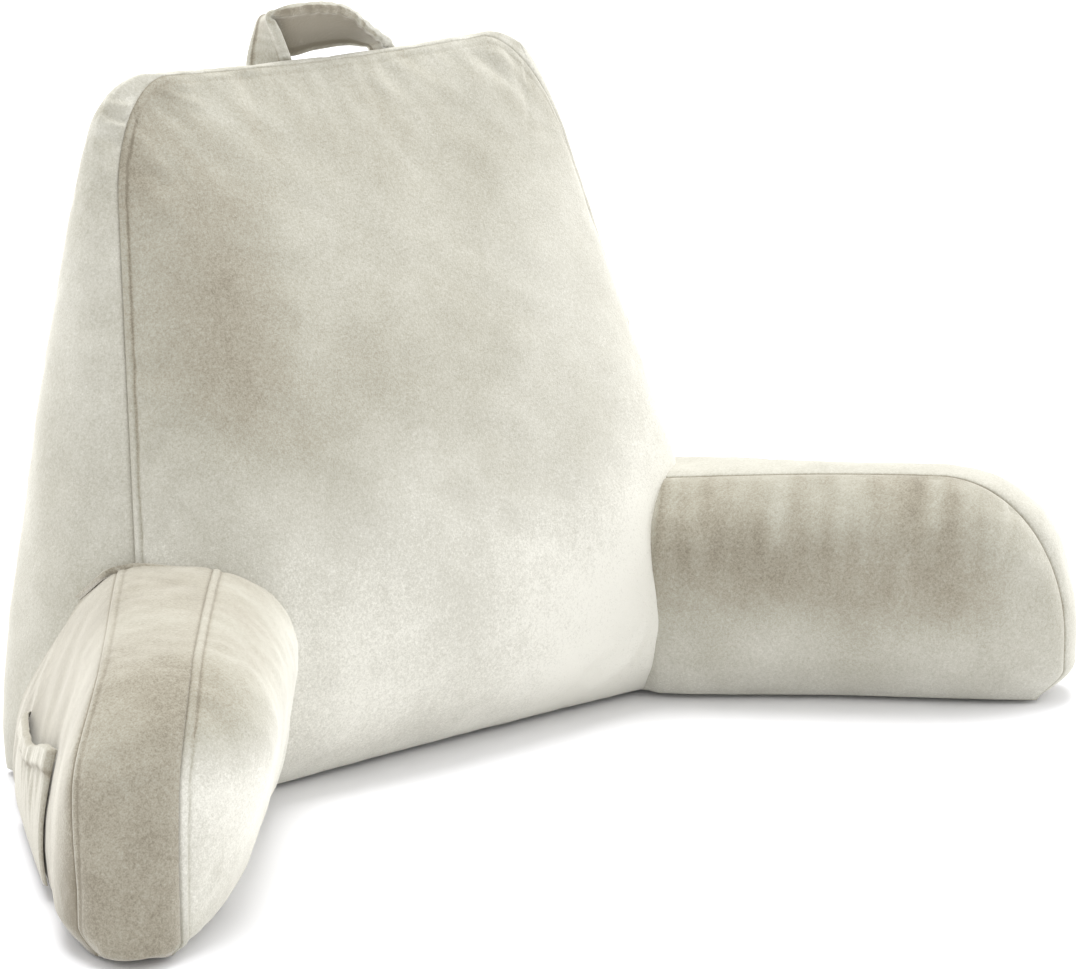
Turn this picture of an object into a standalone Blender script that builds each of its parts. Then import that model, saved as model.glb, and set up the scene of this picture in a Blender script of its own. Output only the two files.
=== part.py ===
"""Reading pillow with arms: a stuffed wedge-shaped backrest, two stuffed arms sewn to its front
corners, a wide strap handle on its top edge and a gathered patch pocket on its left arm.

World frame: metres, +Z up, the front faces -Y and the object's right is +X. The origin is on the
floor, in the middle of the backrest's base. The depths below are measured back from the seam
where the front panel meets the base, which lies ORIGIN_DEPTH in front of the origin.

Every filled piece starts as a cube that is cut at named stations, and a shape function then
places its points: seams, crowns, drawn-in edges and a flat base."""

import bmesh
import bpy
import numpy as np

ORIGIN_DEPTH = 0.085

# Backrest: a wedge, wide and deep at the base, narrow and thin at the top
BODY_HEIGHT = 0.497         # base seam to top seam
BASE_HALF_WIDTH = 0.290
TOP_HALF_WIDTH = 0.201
TOP_ARCH = 0.004           # rise of the top seam between its corners
LEAN = 0.144               # how far the front seam leans back over the height
BASE_DEPTH = 0.169         # front seam to back seam, at the floor
TOP_DEPTH = 0.009          # and at the top
DEPTH_CURVE = 1.3          # how it tapers: 1 would be straight
TOP_CORNER_RADIUS = 0.034
FRONT_CROWN = 0.080        # the largest swell of the front panel
BACK_CROWN = 0.038
FOOT_HOLLOW = 0.011        # how far the front foot line is drawn back between the arms
GUSSET_SWELL_TOP = 0.006   # swell of the gusset on the top
GUSSET_SWELL_SIDE = 0.024  # and how much more it gains where it is wide
BASE_ROLL = 0.0065         # height of the base seams over the floor
BASE_EDGE_LIFT = 0.0025    # the base panel's edge, rounded up from the floor
BASE_EDGE_INSET = 0.004

# Arms: splayed forward from the front corners
ARM_ROOT = (-0.221, 0.003)      # where the left arm's inner band seam meets the front panel
ARM_SPLAY = np.radians(40.4)    # from straight ahead
ARM_LENGTH = 0.314              # along the seam, root to front end
ARM_SEAM_HEIGHT = 0.165         # of the band's seams at the root
ARM_RISE = 0.009                # how much higher they are further forward
ARM_CORNER_LENGTH = 0.100       # the rounded front top corner, along the arm
ARM_CORNER_DROP = 0.125         # and down
BAND_WIDTH_ROOT = 0.068
BAND_WIDTH_FRONT = 0.060
BAND_TILT = 0.008               # how much lower its outer seam is
BAND_CROWN_TOP = 0.005
BAND_CROWN_FRONT = 0.014
INNER_FOOT = 0.037              # how far the base stands out past the band, inside the arm
OUTER_FOOT = 0.060              # and outside it
INNER_BELLY = 0.052             # the largest swell of the inner panel
OUTER_BELLY = 0.018             # and of the outer panel, at the front
OUTER_BELLY_ROOT = 0.036        # and at the root

# The outer panel runs back over the side of the backrest. Each row is one section behind the
# root: depth and height of the panel's top edge, depth of its foot, how far the foot stands out
# from the backrest, and the swell between them.
WRAP_ROWS = (
    (0.072, 0.150, 0.114, 0.014, 0.012),
    (0.102, 0.127, 0.130, 0.010, 0.010),
    (0.130, 0.106, 0.143, 0.007, 0.008),
    (0.152, 0.090, 0.154, 0.003, 0.003),
)
WRAP_THICKNESS = 0.007          # of the panel's edge where it lies on the backrest

# Pressed seam allowances, a low flat ridge beside each seam
RIDGE_WIDTH = 0.007
RIDGE_HEIGHT = 0.0016
CLEARANCE = 0.0004              # between sewn pieces

# Handle: the front and rear edges of the strap, from its left end over to its right end
HANDLE_COLUMNS = ("front_x", "front_y", "front_z", "rear_x", "rear_y", "rear_z")
HANDLE_ROWS = (
    (-0.025, 0.150, 0.499, -0.046, 0.178, 0.475),
    (-0.030, 0.151, 0.513, -0.036, 0.193, 0.499),
    (-0.038, 0.151, 0.528, -0.029, 0.193, 0.521),
    (-0.045, 0.152, 0.543, -0.019, 0.190, 0.536),
    (-0.029, 0.151, 0.548, -0.005, 0.187, 0.526),
    (0.002, 0.150, 0.548, 0.016, 0.180, 0.511),
    (0.028, 0.150, 0.542, 0.045, 0.181, 0.510),
    (0.049, 0.150, 0.526, 0.066, 0.184, 0.509),
    (0.067, 0.150, 0.512, 0.080, 0.188, 0.503),
    (0.074, 0.150, 0.499, 0.087, 0.178, 0.475),
)
STRAP_THICKNESS = 0.0050
HEM_WIDTH = 0.008
HEM_EXTRA = 0.0025

# Pocket: sewn to the left arm's outer panel on three sides, open at the top
POCKET_FRONT = 0.200            # distance of its front edge from the root, along the arm
POCKET_BACK = 0.035
POCKET_FOOT = 0.010             # height of its lower edge
POCKET_MOUTH = 0.096            # and of its mouth
POCKET_CLOTH = 0.0026
POCKET_HEM_EXTRA = 0.0025
POCKET_PUFF = 0.017             # how far the mouth stands open
POCKET_PLEATS = 9
POCKET_PLEAT_DEPTH = 0.0022
POCKET_STANDOFF = 0.0014

# Stations at which the cubes are cut, as shares of the half width, height or depth
BODY_ACROSS = (0.0, 0.13, 0.26, 0.39, 0.51, 0.62, 0.72, 0.81, 0.885, 0.935, 0.967, 0.973)
BODY_UP = (0.012, 0.035, 0.07, 0.12, 0.18, 0.25, 0.33, 0.41, 0.49, 0.57, 0.65, 0.73, 0.80, 0.86,
           0.91, 0.945, 0.965, 0.982, 0.986)
BODY_DEEP = (0.25, 0.62, 0.88)
ARM_ALONG = (0.02, 0.0235, 0.05, 0.09, 0.14, 0.20, 0.27, 0.36, 0.46, 0.56, 0.66, 0.76, 0.86, 0.94,
             1.0, 1.25, 1.5, 1.75)
ARM_UP = (0.06, 0.14, 0.24, 0.36, 0.48, 0.60, 0.71, 0.80, 0.87, 0.92, 0.950, 0.957)
ARM_ACROSS = (0.0, 0.45, 0.82)
STRAP_ALONG = 30
STRAP_ACROSS = (0.08, 0.17, 0.20, 0.5, 0.80, 0.83, 0.92)
POCKET_ALONG = 36
POCKET_UP = (0.12, 0.26, 0.40, 0.54, 0.68, 0.81, 0.84, 0.92)

PLUSH_COLOUR = (0.66, 0.62, 0.51, 1.0)


def swell(share, power):
    """1 in the middle of a panel and 0 on its seams, which lie at -1 and 1; the power sets how
    steeply it leaves them."""
    return np.clip(1.0 - np.abs(share) ** 2, 0.0, 1.0) ** power


def smooth(x, lowest, highest):
    """0 below the lowest value, 1 above the highest, with an even S-curve between them."""
    s = np.clip((x - lowest) / (highest - lowest), 0.0, 1.0)
    return s * s * (3.0 - 2.0 * s)


def round_corner(p, q):
    """Maps a corner square, 0 to 1 each way, to a quarter disc with the same radius."""
    length = np.hypot(p, q)
    scale = np.where(length > 1e-9, np.maximum(p, q) / np.maximum(length, 1e-9), 1.0)
    return p * scale, q * scale


def station_cube(x_cuts, y_cuts, z_cuts):
    """A unit cube from 0 to 1 whose surface is cut across at the given stations."""
    bm = bmesh.new()
    bmesh.ops.create_cube(bm, size=1.0)
    bmesh.ops.translate(bm, verts=bm.verts, vec=(0.5, 0.5, 0.5))
    for axis, cuts in enumerate((x_cuts, y_cuts, z_cuts)):
        normal = [0.0, 0.0, 0.0]
        normal[axis] = 1.0
        for cut in cuts:
            point = [0.0, 0.0, 0.0]
            point[axis] = cut
            geometry = bm.verts[:] + bm.edges[:] + bm.faces[:]
            bmesh.ops.bisect_plane(bm, geom=geometry, plane_co=point, plane_no=normal)
    return bm


def both_sides(stations):
    """Stations given from the middle outwards, laid out on both sides of it from 0 to 1."""
    return sorted({0.5 + 0.5 * side * s for s in stations for side in (-1.0, 1.0)})


def mesh_from(bm, place, name):
    """Places the cube's points with the function and makes a smooth-shaded mesh of it."""
    shares = np.array([v.co[:] for v in bm.verts])
    for vert, point in zip(bm.verts, place(shares)):
        vert.co = point - np.array([0.0, ORIGIN_DEPTH, 0.0])
    if bm.calc_volume(signed=True) < 0.0:
        bmesh.ops.reverse_faces(bm, faces=bm.faces)
    bmesh.ops.triangulate(bm, faces=bm.faces)
    mesh = bpy.data.meshes.new(name)
    bm.to_mesh(mesh)
    bm.free()
    mesh.shade_smooth()
    return mesh


# ---- backrest

def half_width(t):
    return BASE_HALF_WIDTH + (TOP_HALF_WIDTH - BASE_HALF_WIDTH) * t


def front_seam(t):
    return LEAN * t


def seam_depth(t):
    return BASE_DEPTH + (TOP_DEPTH - BASE_DEPTH) * np.clip(t, 0.0, 1.0) ** DEPTH_CURVE


def front_swell(across, t):
    """Swell of the front panel: fullest a third of the way up, steep at its seams."""
    rise = np.sin(np.pi * np.clip(t, 0.0, 1.0) ** 0.60) ** 0.90
    return FRONT_CROWN * rise * swell(across, 0.44)


def back_swell(across, t):
    rise = np.sin(np.pi * np.clip(t, 0.0, 1.0) ** 0.70) ** 0.60
    return BACK_CROWN * rise * swell(across, 0.50)


def gusset_swell(deep, t):
    """Swell of the gusset; deep runs from -1 at the front seam to 1 at the back seam."""
    size = GUSSET_SWELL_TOP + GUSSET_SWELL_SIDE * (1.0 - np.exp((TOP_DEPTH - seam_depth(t)) / 0.05))
    foot = np.sqrt(np.clip(1.0 - (1.0 - np.clip(t / 0.14, 0.0, 1.0)) ** 2, 0.0, 1.0))
    return size * foot * swell(deep, 0.45)


def body_points(shares):
    across = 2.0 * shares[:, 0] - 1.0
    deep = 2.0 * shares[:, 1] - 1.0
    up = shares[:, 2]
    side = np.sign(across)
    reach = np.abs(across)
    corner_x = TOP_CORNER_RADIUS / TOP_HALF_WIDTH
    corner_z = TOP_CORNER_RADIUS / BODY_HEIGHT
    p, q = round_corner(np.clip((reach - 1.0 + corner_x) / corner_x, 0.0, 1.0),
                        np.clip((up - 1.0 + corner_z) / corner_z, 0.0, 1.0))
    reach_in = np.where(reach > 1.0 - corner_x, 1.0 - corner_x + corner_x * p, reach)
    t = np.where(up > 1.0 - corner_z, 1.0 - corner_z + corner_z * q, up)

    x = side * reach_in * half_width(t)
    z = BASE_ROLL + BODY_HEIGHT * t + TOP_ARCH * up ** 4 * (1.0 - reach ** 2)
    y = front_seam(t) + 0.5 * (deep + 1.0) * seam_depth(t)
    y += FOOT_HOLLOW * (1.0 - reach ** 2) * (1.0 - t) ** 6 * (deep < 0.0)

    # Panels swell straight out; beside their seams lies the pressed allowance
    ridge_x = RIDGE_WIDTH / BASE_HALF_WIDTH
    ridge_z = RIDGE_WIDTH / BODY_HEIGHT
    from_seam = np.minimum((1.0 - reach) / ridge_x, (1.0 - up) / ridge_z)
    ridge = RIDGE_HEIGHT * (from_seam < 1.02) * (up > 0.001)
    on_front = deep < -0.999
    on_back = deep > 0.999
    inside = (reach < 0.9999) & (up < 0.9999)
    y -= on_front * (front_swell(reach, up) + ridge * inside)
    y += on_back * back_swell(reach, up)

    # The gusset swells outwards round the outline
    bulge = gusset_swell(deep, t)
    on_side = reach > 0.999
    on_top = up > 0.999
    x += on_side * side * bulge * np.where(on_top | (q > 0.0), p, 1.0)
    z += (on_side & (q > 0.0)) * bulge * q
    z += (on_top & ~on_side) * bulge * np.where(p > 0.0, q, 1.0)
    x += (on_top & ~on_side) * side * bulge * p

    # The base lies flat, and only its edge is rounded up to the seams
    on_base = up < 0.0001
    edge_x, edge_y = on_base & on_side, on_base & (on_front | on_back)
    z[on_base] = 0.0
    z[edge_x | edge_y] = BASE_EDGE_LIFT
    x -= edge_x * side * BASE_EDGE_INSET
    y -= edge_y * np.sign(deep) * BASE_EDGE_INSET
    return np.stack([x, y, z], axis=1)


def gusset_side(y, z):
    """How far out the side of the backrest is at a depth and height."""
    t = (z - BASE_ROLL) / BODY_HEIGHT
    deep = np.clip(2.0 * (y - front_seam(t)) / seam_depth(t) - 1.0, -1.0, 1.0)
    return half_width(t) + gusset_swell(deep, t)


# ---- arms

def arm_axes():
    """Unit vectors of the left arm, on the floor plan: forward along it, and outwards."""
    forward = np.array([-np.sin(ARM_SPLAY), -np.cos(ARM_SPLAY)])
    outward = np.array([-np.cos(ARM_SPLAY), np.sin(ARM_SPLAY)])
    return forward, outward


def arm_outline(along_share, up):
    """Rounds the front top corner: shares along (0 front, 1 root) and up to the side outline."""
    corner_a = ARM_CORNER_LENGTH / ARM_LENGTH
    corner_c = ARM_CORNER_DROP / (ARM_SEAM_HEIGHT + ARM_RISE)
    p, q = round_corner(np.clip((corner_a - along_share) / corner_a, 0.0, 1.0),
                        np.clip((up - 1.0 + corner_c) / corner_c, 0.0, 1.0))
    share = np.where(along_share < corner_a, corner_a * (1.0 - p), along_share)
    height = np.where(up > 1.0 - corner_c, 1.0 - corner_c + corner_c * q, up)
    return share, height, p, q


def arm_lines(share):
    """The four seams of the arm at a share along it: inner foot, inner top, outer foot and outer
    top, as points. Shares past 1 follow the outer panel back over the side of the backrest."""
    forward, outward = arm_axes()
    root = np.array(ARM_ROOT)
    s = np.clip(share, 0.0, 1.0)
    distance = ARM_LENGTH * (1.0 - s)
    width = BAND_WIDTH_FRONT + (BAND_WIDTH_ROOT - BAND_WIDTH_FRONT) * s
    top = BASE_ROLL + ARM_SEAM_HEIGHT + ARM_RISE * np.sin(0.5 * np.pi * np.clip(distance / 0.21, 0.0, 1.0))
    inner_foot = -INNER_FOOT * (1.0 - (1.0 - s) ** 1.6)
    outer_foot = width + OUTER_FOOT * np.sqrt(s)

    def point(offset, height):
        plan = root + distance[:, None] * forward + np.asarray(offset)[:, None] * outward
        return np.column_stack([plan, height])

    zero = np.zeros_like(s)
    lines = [point(inner_foot, zero), point(zero, top), point(outer_foot, zero),
             point(width, top - BAND_TILT)]

    # Behind the root: rows of the wrap, with the inner seams led deep into the backrest
    rows = np.array(WRAP_ROWS)
    top_y, top_z, foot_y, foot_out = rows[:, 0], rows[:, 1], rows[:, 2], rows[:, 3]
    top_x = -(gusset_side(top_y, top_z) + WRAP_THICKNESS)
    foot_x = -(BASE_HALF_WIDTH + WRAP_THICKNESS + foot_out)
    count = len(rows)
    deep_y = np.linspace(0.060, 0.150, count)
    targets = [np.column_stack([np.full(count, -0.180), deep_y, np.zeros(count)]),
               np.column_stack([np.full(count, -0.200), deep_y, top_z]),
               np.column_stack([foot_x, foot_y, np.zeros(count)]),
               np.column_stack([top_x, top_y, top_z])]
    behind = np.clip(share - 1.0, 0.0, 1.0) * count
    steps = np.arange(count + 1)
    for line, target in zip(lines, targets):
        last = line[np.argmax(share >= 1.0)] if np.any(share >= 1.0) else line[0]
        track = np.vstack([last, target])
        for axis in range(3):
            line[:, axis] = np.where(share > 1.0, np.interp(behind, steps, track[:, axis]),
                                     line[:, axis])
    return lines


def inner_belly(share, up):
    profile = 1.85 * np.clip(up, 0.0, 1.0) ** 1.1 * np.sqrt(np.clip(1.0 - up ** 3, 0.0, 1.0))
    return INNER_BELLY * profile * (1.0 - (1.0 - np.clip(share, 0.0, 1.0)) ** 3)


def outer_belly(share, up):
    rows = np.array(WRAP_ROWS)
    behind = np.clip(share - 1.0, 0.0, 1.0) * len(rows)
    s = np.clip(share, 0.0, 1.0)
    size = np.interp(behind, np.arange(len(rows) + 1), np.append(OUTER_BELLY_ROOT, rows[:, 4]))
    size = np.where(share < 1.0, OUTER_BELLY + (OUTER_BELLY_ROOT - OUTER_BELLY) * s ** 2, size)
    return size * swell(2.0 * up - 1.0, 0.5) * np.sqrt(1.0 - (1.0 - s) ** 6)


def outer_direction(share):
    """Which way the outer panel swells, on the floor plan."""
    _, outward = arm_axes()
    turn = smooth(share, 0.9, 1.9)[:, None]
    direction = outward * (1.0 - turn) + np.array([-1.0, 0.15]) * turn
    return direction / np.linalg.norm(direction, axis=1)[:, None]


def side_ridge(share, up):
    """Height of the pressed allowance on an arm's side panels."""
    from_seam = np.minimum(share * ARM_LENGTH, (1.0 - up) * ARM_SEAM_HEIGHT)
    return RIDGE_HEIGHT * (from_seam < 1.03 * RIDGE_WIDTH) * (up > 0.001) * (share < 1.01)


def arm_points(shares):
    """The left arm. Cube axes: along (front to back), across (inner to outer) and up."""
    last = 1.0 + 1.0
    along = shares[:, 0] * last
    across = 2.0 * shares[:, 1] - 1.0
    up = shares[:, 2]
    share, height, p, q = arm_outline(along, up)
    inner_foot, inner_top, outer_foot, outer_top = arm_lines(share)
    inner = inner_foot + (inner_top - inner_foot) * height[:, None]
    outer = outer_foot + (outer_top - outer_foot) * height[:, None]
    behind = along > 1.001
    foot_gap = -outer_foot[:, 0] - BASE_HALF_WIDTH - WRAP_THICKNESS
    hug = gusset_side(outer[:, 1], outer[:, 2]) + WRAP_THICKNESS + foot_gap * (1.0 - height)
    outer[:, 0] = np.where(behind, -hug, outer[:, 0])
    out = 0.5 * (across + 1.0)[:, None]
    points = inner * (1.0 - out) + outer * out

    forward, outward = arm_axes()
    on_inner = across < -0.999
    on_outer = across > 0.999
    inside = (along > 0.0001) & (up < 0.9999)
    ridge = side_ridge(along, up) * inside
    swell_in = (inner_belly(along, up) + ridge) * on_inner
    swell_out = (outer_belly(along, up) + ridge) * on_outer
    points[:, :2] -= swell_in[:, None] * outward
    points[:, :2] += swell_out[:, None] * outer_direction(along)

    # The band swells outwards: up on top, forward on the front end, both round the corner
    down = smooth(p, 0.0, 1.0)
    bulge = (BAND_CROWN_TOP + (BAND_CROWN_FRONT - BAND_CROWN_TOP) * down) * swell(across, 0.6)
    foot = np.sqrt(np.clip(1.0 - (1.0 - np.clip(up / 0.06, 0.0, 1.0)) ** 2, 0.0, 1.0))
    on_top = (up > 0.999) & (along > 0.0001)
    on_front = along < 0.0001
    points[:, 2] += on_top * bulge * np.where(p > 0.0, q, 1.0)
    points[:, :2] += (on_top * bulge * p)[:, None] * forward
    front = on_front * bulge * foot
    points[:, :2] += (front * np.where(q > 0.0, p, 1.0))[:, None] * forward
    points[:, 2] += front * q

    # The base lies flat, and only its edge is rounded up to the seams
    on_base = up < 0.0001
    edge_side, edge_front = on_base & (on_inner | on_outer), on_base & on_front
    points[:, 2] *= ~on_base
    points[edge_side | edge_front, 2] = BASE_EDGE_LIFT
    points[:, :2] -= (edge_side * np.sign(across) * BASE_EDGE_INSET)[:, None] * outward
    points[:, :2] -= (edge_front * BASE_EDGE_INSET)[:, None] * forward
    return points


# ---- handle and pocket

def edge_track(columns, samples):
    """A smooth curve through the named columns of the handle's table (Catmull-Rom)."""
    rows = np.array(HANDLE_ROWS)[:, [HANDLE_COLUMNS.index(name) for name in columns]]
    rows = np.vstack([2.0 * rows[0] - rows[1], rows, 2.0 * rows[-1] - rows[-2]])
    position = np.clip(samples, 0.0, 1.0) * (len(rows) - 3)
    first = np.minimum(position.astype(int), len(rows) - 4)
    f = (position - first)[:, None]
    a, b, c, d = rows[first], rows[first + 1], rows[first + 2], rows[first + 3]
    return 0.5 * (2.0 * b + (c - a) * f + (2.0 * a - 5.0 * b + 4.0 * c - d) * f ** 2
                  + (3.0 * b - a - 3.0 * c + d) * f ** 3)


def strap_points(shares):
    """The strap: ruled between its two edges, thicker at its hems."""
    along, across, through = shares[:, 0], shares[:, 1], shares[:, 2]

    def centre(s):
        front = edge_track(HANDLE_COLUMNS[:3], s)
        rear = edge_track(HANDLE_COLUMNS[3:], s)
        return front, rear

    front, rear = centre(along)
    step = 0.01
    ahead = sum(centre(np.clip(along + step, 0.0, 1.0)))
    behind = sum(centre(np.clip(along - step, 0.0, 1.0)))
    normal = np.cross(rear - front, ahead - behind)
    normal /= np.linalg.norm(normal, axis=1)[:, None]
    width = np.linalg.norm(rear - front, axis=1)
    from_edge = np.minimum(across, 1.0 - across) * width
    hem = HEM_EXTRA * (from_edge < HEM_WIDTH + 0.0004)
    edge = np.where(from_edge < 1e-6, 0.55, 1.0)
    thickness = (STRAP_THICKNESS + hem) * edge
    offset = (through - 0.5) * thickness
    return front + (rear - front) * across[:, None] + normal * offset[:, None]


def outer_panel(distance, height):
    """Points on the left arm's outer panel, at a distance from the root and a height."""
    share = 1.0 - distance / ARM_LENGTH
    _, _, outer_foot, outer_top = arm_lines(share)
    up = height / outer_top[:, 2]
    points = outer_foot + (outer_top - outer_foot) * up[:, None]
    points[:, :2] += outer_belly(share, up)[:, None] * outer_direction(share)
    return points, outer_direction(share)


def pocket_points(shares):
    """The pocket: it follows the panel, stands open at its mouth and is gathered there."""
    along, through, up = shares[:, 0], shares[:, 1], shares[:, 2]
    distance = POCKET_FRONT + (POCKET_BACK - POCKET_FRONT) * along
    height = POCKET_FOOT + (POCKET_MOUTH - POCKET_FOOT) * up
    points, direction = outer_panel(distance, height)
    side = swell(2.0 * along - 1.0, 0.45)
    open_share = side * up ** 1.6 * (1.0 - 0.18 * smooth(up, 0.75, 1.0))
    pleat = np.cos(2.0 * np.pi * POCKET_PLEATS * along) * smooth(up, 0.25, 0.8) * side
    hem = POCKET_HEM_EXTRA * smooth(up, 0.815, 0.835) * (up < 0.99)
    offset = (POCKET_STANDOFF + POCKET_PUFF * open_share + POCKET_PLEAT_DEPTH * pleat * side
              + through * (POCKET_CLOTH + hem))
    points[:, :2] += offset[:, None] * direction
    return points


# ---- building

def make_material(name, colour, roughness):
    material = bpy.data.materials.new(name)
    material.use_nodes = True
    shader = material.node_tree.nodes["Principled BSDF"]
    shader.inputs["Base Color"].default_value = colour
    shader.inputs["Roughness"].default_value = roughness
    shader.inputs["Metallic"].default_value = 0.0
    return material


def add_object(name, mesh, collection, shade):
    obj = bpy.data.objects.new(name, mesh)
    collection.objects.link(obj)
    colour = tuple(min(1.0, c * shade) for c in PLUSH_COLOUR[:3]) + (1.0,)
    mesh.materials.append(make_material(name + "_plush", colour, 0.95))
    return obj


def clearance_cutter(body, collection):
    """The backrest grown by the clearance, to trim what is sewn to it."""
    bm = bmesh.new()
    bm.from_mesh(body.data)
    bm.normal_update()
    grown = [v.co + v.normal * v.calc_shell_factor() * CLEARANCE for v in bm.verts]
    for vert, point in zip(bm.verts, grown):
        vert.co = point
    mesh = bpy.data.meshes.new("backrest_clearance")
    bm.to_mesh(mesh)
    bm.free()
    cutter = bpy.data.objects.new("backrest_clearance", mesh)
    collection.objects.link(cutter)
    cutter.hide_render = True
    cutter.display_type = "WIRE"
    return cutter


def trim(obj, cutter):
    cut = obj.modifiers.new("sewn_to_backrest", "BOOLEAN")
    cut.operation = "DIFFERENCE"
    cut.object = cutter


def mirrored(mesh, name):
    """The same shape on the other side of the middle plane."""
    bm = bmesh.new()
    bm.from_mesh(mesh)
    bmesh.ops.scale(bm, vec=(-1.0, 1.0, 1.0), verts=bm.verts)
    bmesh.ops.reverse_faces(bm, faces=bm.faces)
    copy = bpy.data.meshes.new(name)
    bm.to_mesh(copy)
    bm.free()
    copy.shade_smooth()
    return copy


def build():
    for obj in list(bpy.data.objects):
        bpy.data.objects.remove(obj, do_unlink=True)
    parts = bpy.data.collections.new("reading_pillow")
    cutters = bpy.data.collections.new("cutters")
    bpy.context.scene.collection.children.link(parts)
    bpy.context.scene.collection.children.link(cutters)

    across = both_sides(BODY_ACROSS)
    deep = both_sides(BODY_DEEP)
    body = mesh_from(station_cube(across, deep, BODY_UP), body_points, "backrest")
    backrest = add_object("backrest", body, parts, 1.00)
    cutter = clearance_cutter(backrest, cutters)

    along = [a / 2.0 for a in ARM_ALONG]
    arm = mesh_from(station_cube(along, both_sides(ARM_ACROSS), ARM_UP), arm_points, "arm_left")
    for name, mesh, shade in (("arm_left", arm, 0.90), ("arm_right", mirrored(arm, "arm_right"), 0.95)):
        trim(add_object(name, mesh, parts, shade), cutter)

    strap_cuts = [i / STRAP_ALONG for i in range(1, STRAP_ALONG)]
    strap = mesh_from(station_cube(strap_cuts, STRAP_ACROSS, ()), strap_points, "handle")
    trim(add_object("handle", strap, parts, 0.85), cutter)

    pocket_cuts = [i / POCKET_ALONG for i in range(1, POCKET_ALONG)]
    pocket = mesh_from(station_cube(pocket_cuts, (), POCKET_UP), pocket_points, "pocket")
    add_object("pocket", pocket, parts, 0.80)


build()
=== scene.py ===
import bpy
import numpy as np
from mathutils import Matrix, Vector


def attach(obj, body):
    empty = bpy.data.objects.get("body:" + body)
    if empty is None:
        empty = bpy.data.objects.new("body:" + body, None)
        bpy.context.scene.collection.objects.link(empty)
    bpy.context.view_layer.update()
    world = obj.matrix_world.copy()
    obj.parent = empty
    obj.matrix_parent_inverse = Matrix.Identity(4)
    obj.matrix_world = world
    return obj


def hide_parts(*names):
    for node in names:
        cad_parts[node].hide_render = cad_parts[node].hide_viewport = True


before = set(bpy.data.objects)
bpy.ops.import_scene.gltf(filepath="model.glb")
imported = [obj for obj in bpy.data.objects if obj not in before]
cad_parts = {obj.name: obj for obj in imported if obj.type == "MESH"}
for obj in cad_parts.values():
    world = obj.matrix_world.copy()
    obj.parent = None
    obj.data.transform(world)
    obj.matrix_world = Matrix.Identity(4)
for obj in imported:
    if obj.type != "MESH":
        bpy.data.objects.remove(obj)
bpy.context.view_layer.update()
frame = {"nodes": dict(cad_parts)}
scene = bpy.context.scene
hair = 1e-6        # a share of a box this close to its side counts as on it
tiny = 1e-12       # keeps a division by a length from failing
print("frame loaded:", ", ".join(frame["nodes"]))


# One minus the square of the share, to a power: 1 in the middle of a panel, 0 on its seams
def swell(share, power):
    return np.clip(1.0 - np.abs(share) ** 2, 0.0, 1.0) ** power


# Cubic S-curve from 0 at the lowest value to 1 at the highest
def smooth(x, lowest, highest):
    s = np.clip((x - lowest) / (highest - lowest), 0.0, 1.0)
    return s * s * (3.0 - 2.0 * s)


# The same curve turned round: 1 at the lowest value, 0 at the highest
def fade(x, lowest, highest):
    return 1.0 - smooth(x, lowest, highest)


# An amount that comes in between two places, as the S-curve
def comeIn(x, amount, lowest, highest):
    return amount * smooth(x, lowest, highest)


# An amount that goes out between them, as the curve turned round
def goOut(x, amount, lowest, highest):
    return amount * fade(x, lowest, highest)


# Straight line from the first value to the second, by a share
def blend(first, second, share):
    return first + (second - first) * share


# Gaussian bell: 1 at the centre, falling off over the given width
def bell(x, centre, width):
    return np.exp(-((x - centre) / width) ** 2)


# Quarter circle: 0 at an edge, 1 at the radius from it and beyond
def quarterRound(x, radius):
    return np.sqrt(np.clip(1.0 - (1.0 - np.clip(x / radius, 0.0, 1.0)) ** 2, 0.0, 1.0))


# True where a share lies on the low or the high side of its box
def atEnds(share):
    return (share < hair) | (share > 1.0 - hair)


# Scales the pair by its larger number over its length, so that a square becomes a quarter disc
def roundCorner(p, q):
    length = np.hypot(p, q)
    scale = np.where(length > tiny, np.maximum(p, q) / np.maximum(length, tiny), 1.0)
    return p * scale, q * scale


# Stations from 0 to 1 on a profile: the steps along its length grow from fine at both ends to
# coarse at the given reach from them, which is the inverse of the summed-up density
def stationsOn(profile, fine, coarse, reach, samples=6001):
    share = 0.5 - 0.5 * np.cos(np.linspace(0.0, np.pi, samples))
    s = np.append(0.0, np.cumsum(np.linalg.norm(np.diff(profile(share), axis=0), axis=1)))
    spacing = blend(fine, coarse, smooth(np.minimum(s, s[-1] - s), 0.0, reach))
    total = np.append(0.0, np.cumsum(0.5 * (1 / spacing[1:] + 1 / spacing[:-1]) * np.diff(s)))
    cuts = np.interp(np.linspace(0.0, total[-1], int(np.ceil(total[-1])) + 1), total, share)
    cuts[0], cuts[-1] = 0.0, 1.0
    return cuts


# A flat profile: its length times the share
def straight(length):
    return lambda share: share[:, None] * length


# Soft uneven field: a sum of plane waves in seeded directions, all near one wavelength
def ripples(points, wavelength, seed, waves=28):
    dice = np.random.default_rng(seed)
    direction = dice.normal(size=(waves, points.shape[1]))
    direction /= np.linalg.norm(direction, axis=1)[:, None]
    number = 2.0 * np.pi / (wavelength * dice.uniform(0.7, 1.5, waves))
    phase = dice.uniform(0.0, 2.0 * np.pi, waves)
    return np.cos(points @ (direction * number[:, None]).T + phase).sum(axis=1) / np.sqrt(waves / 2.0)


# Ripples of a plane field that is stretched along its second axis
def streaks(across, along, stretch, wavelength, seed):
    return ripples(np.column_stack([across, along * stretch]), wavelength, seed)


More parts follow.
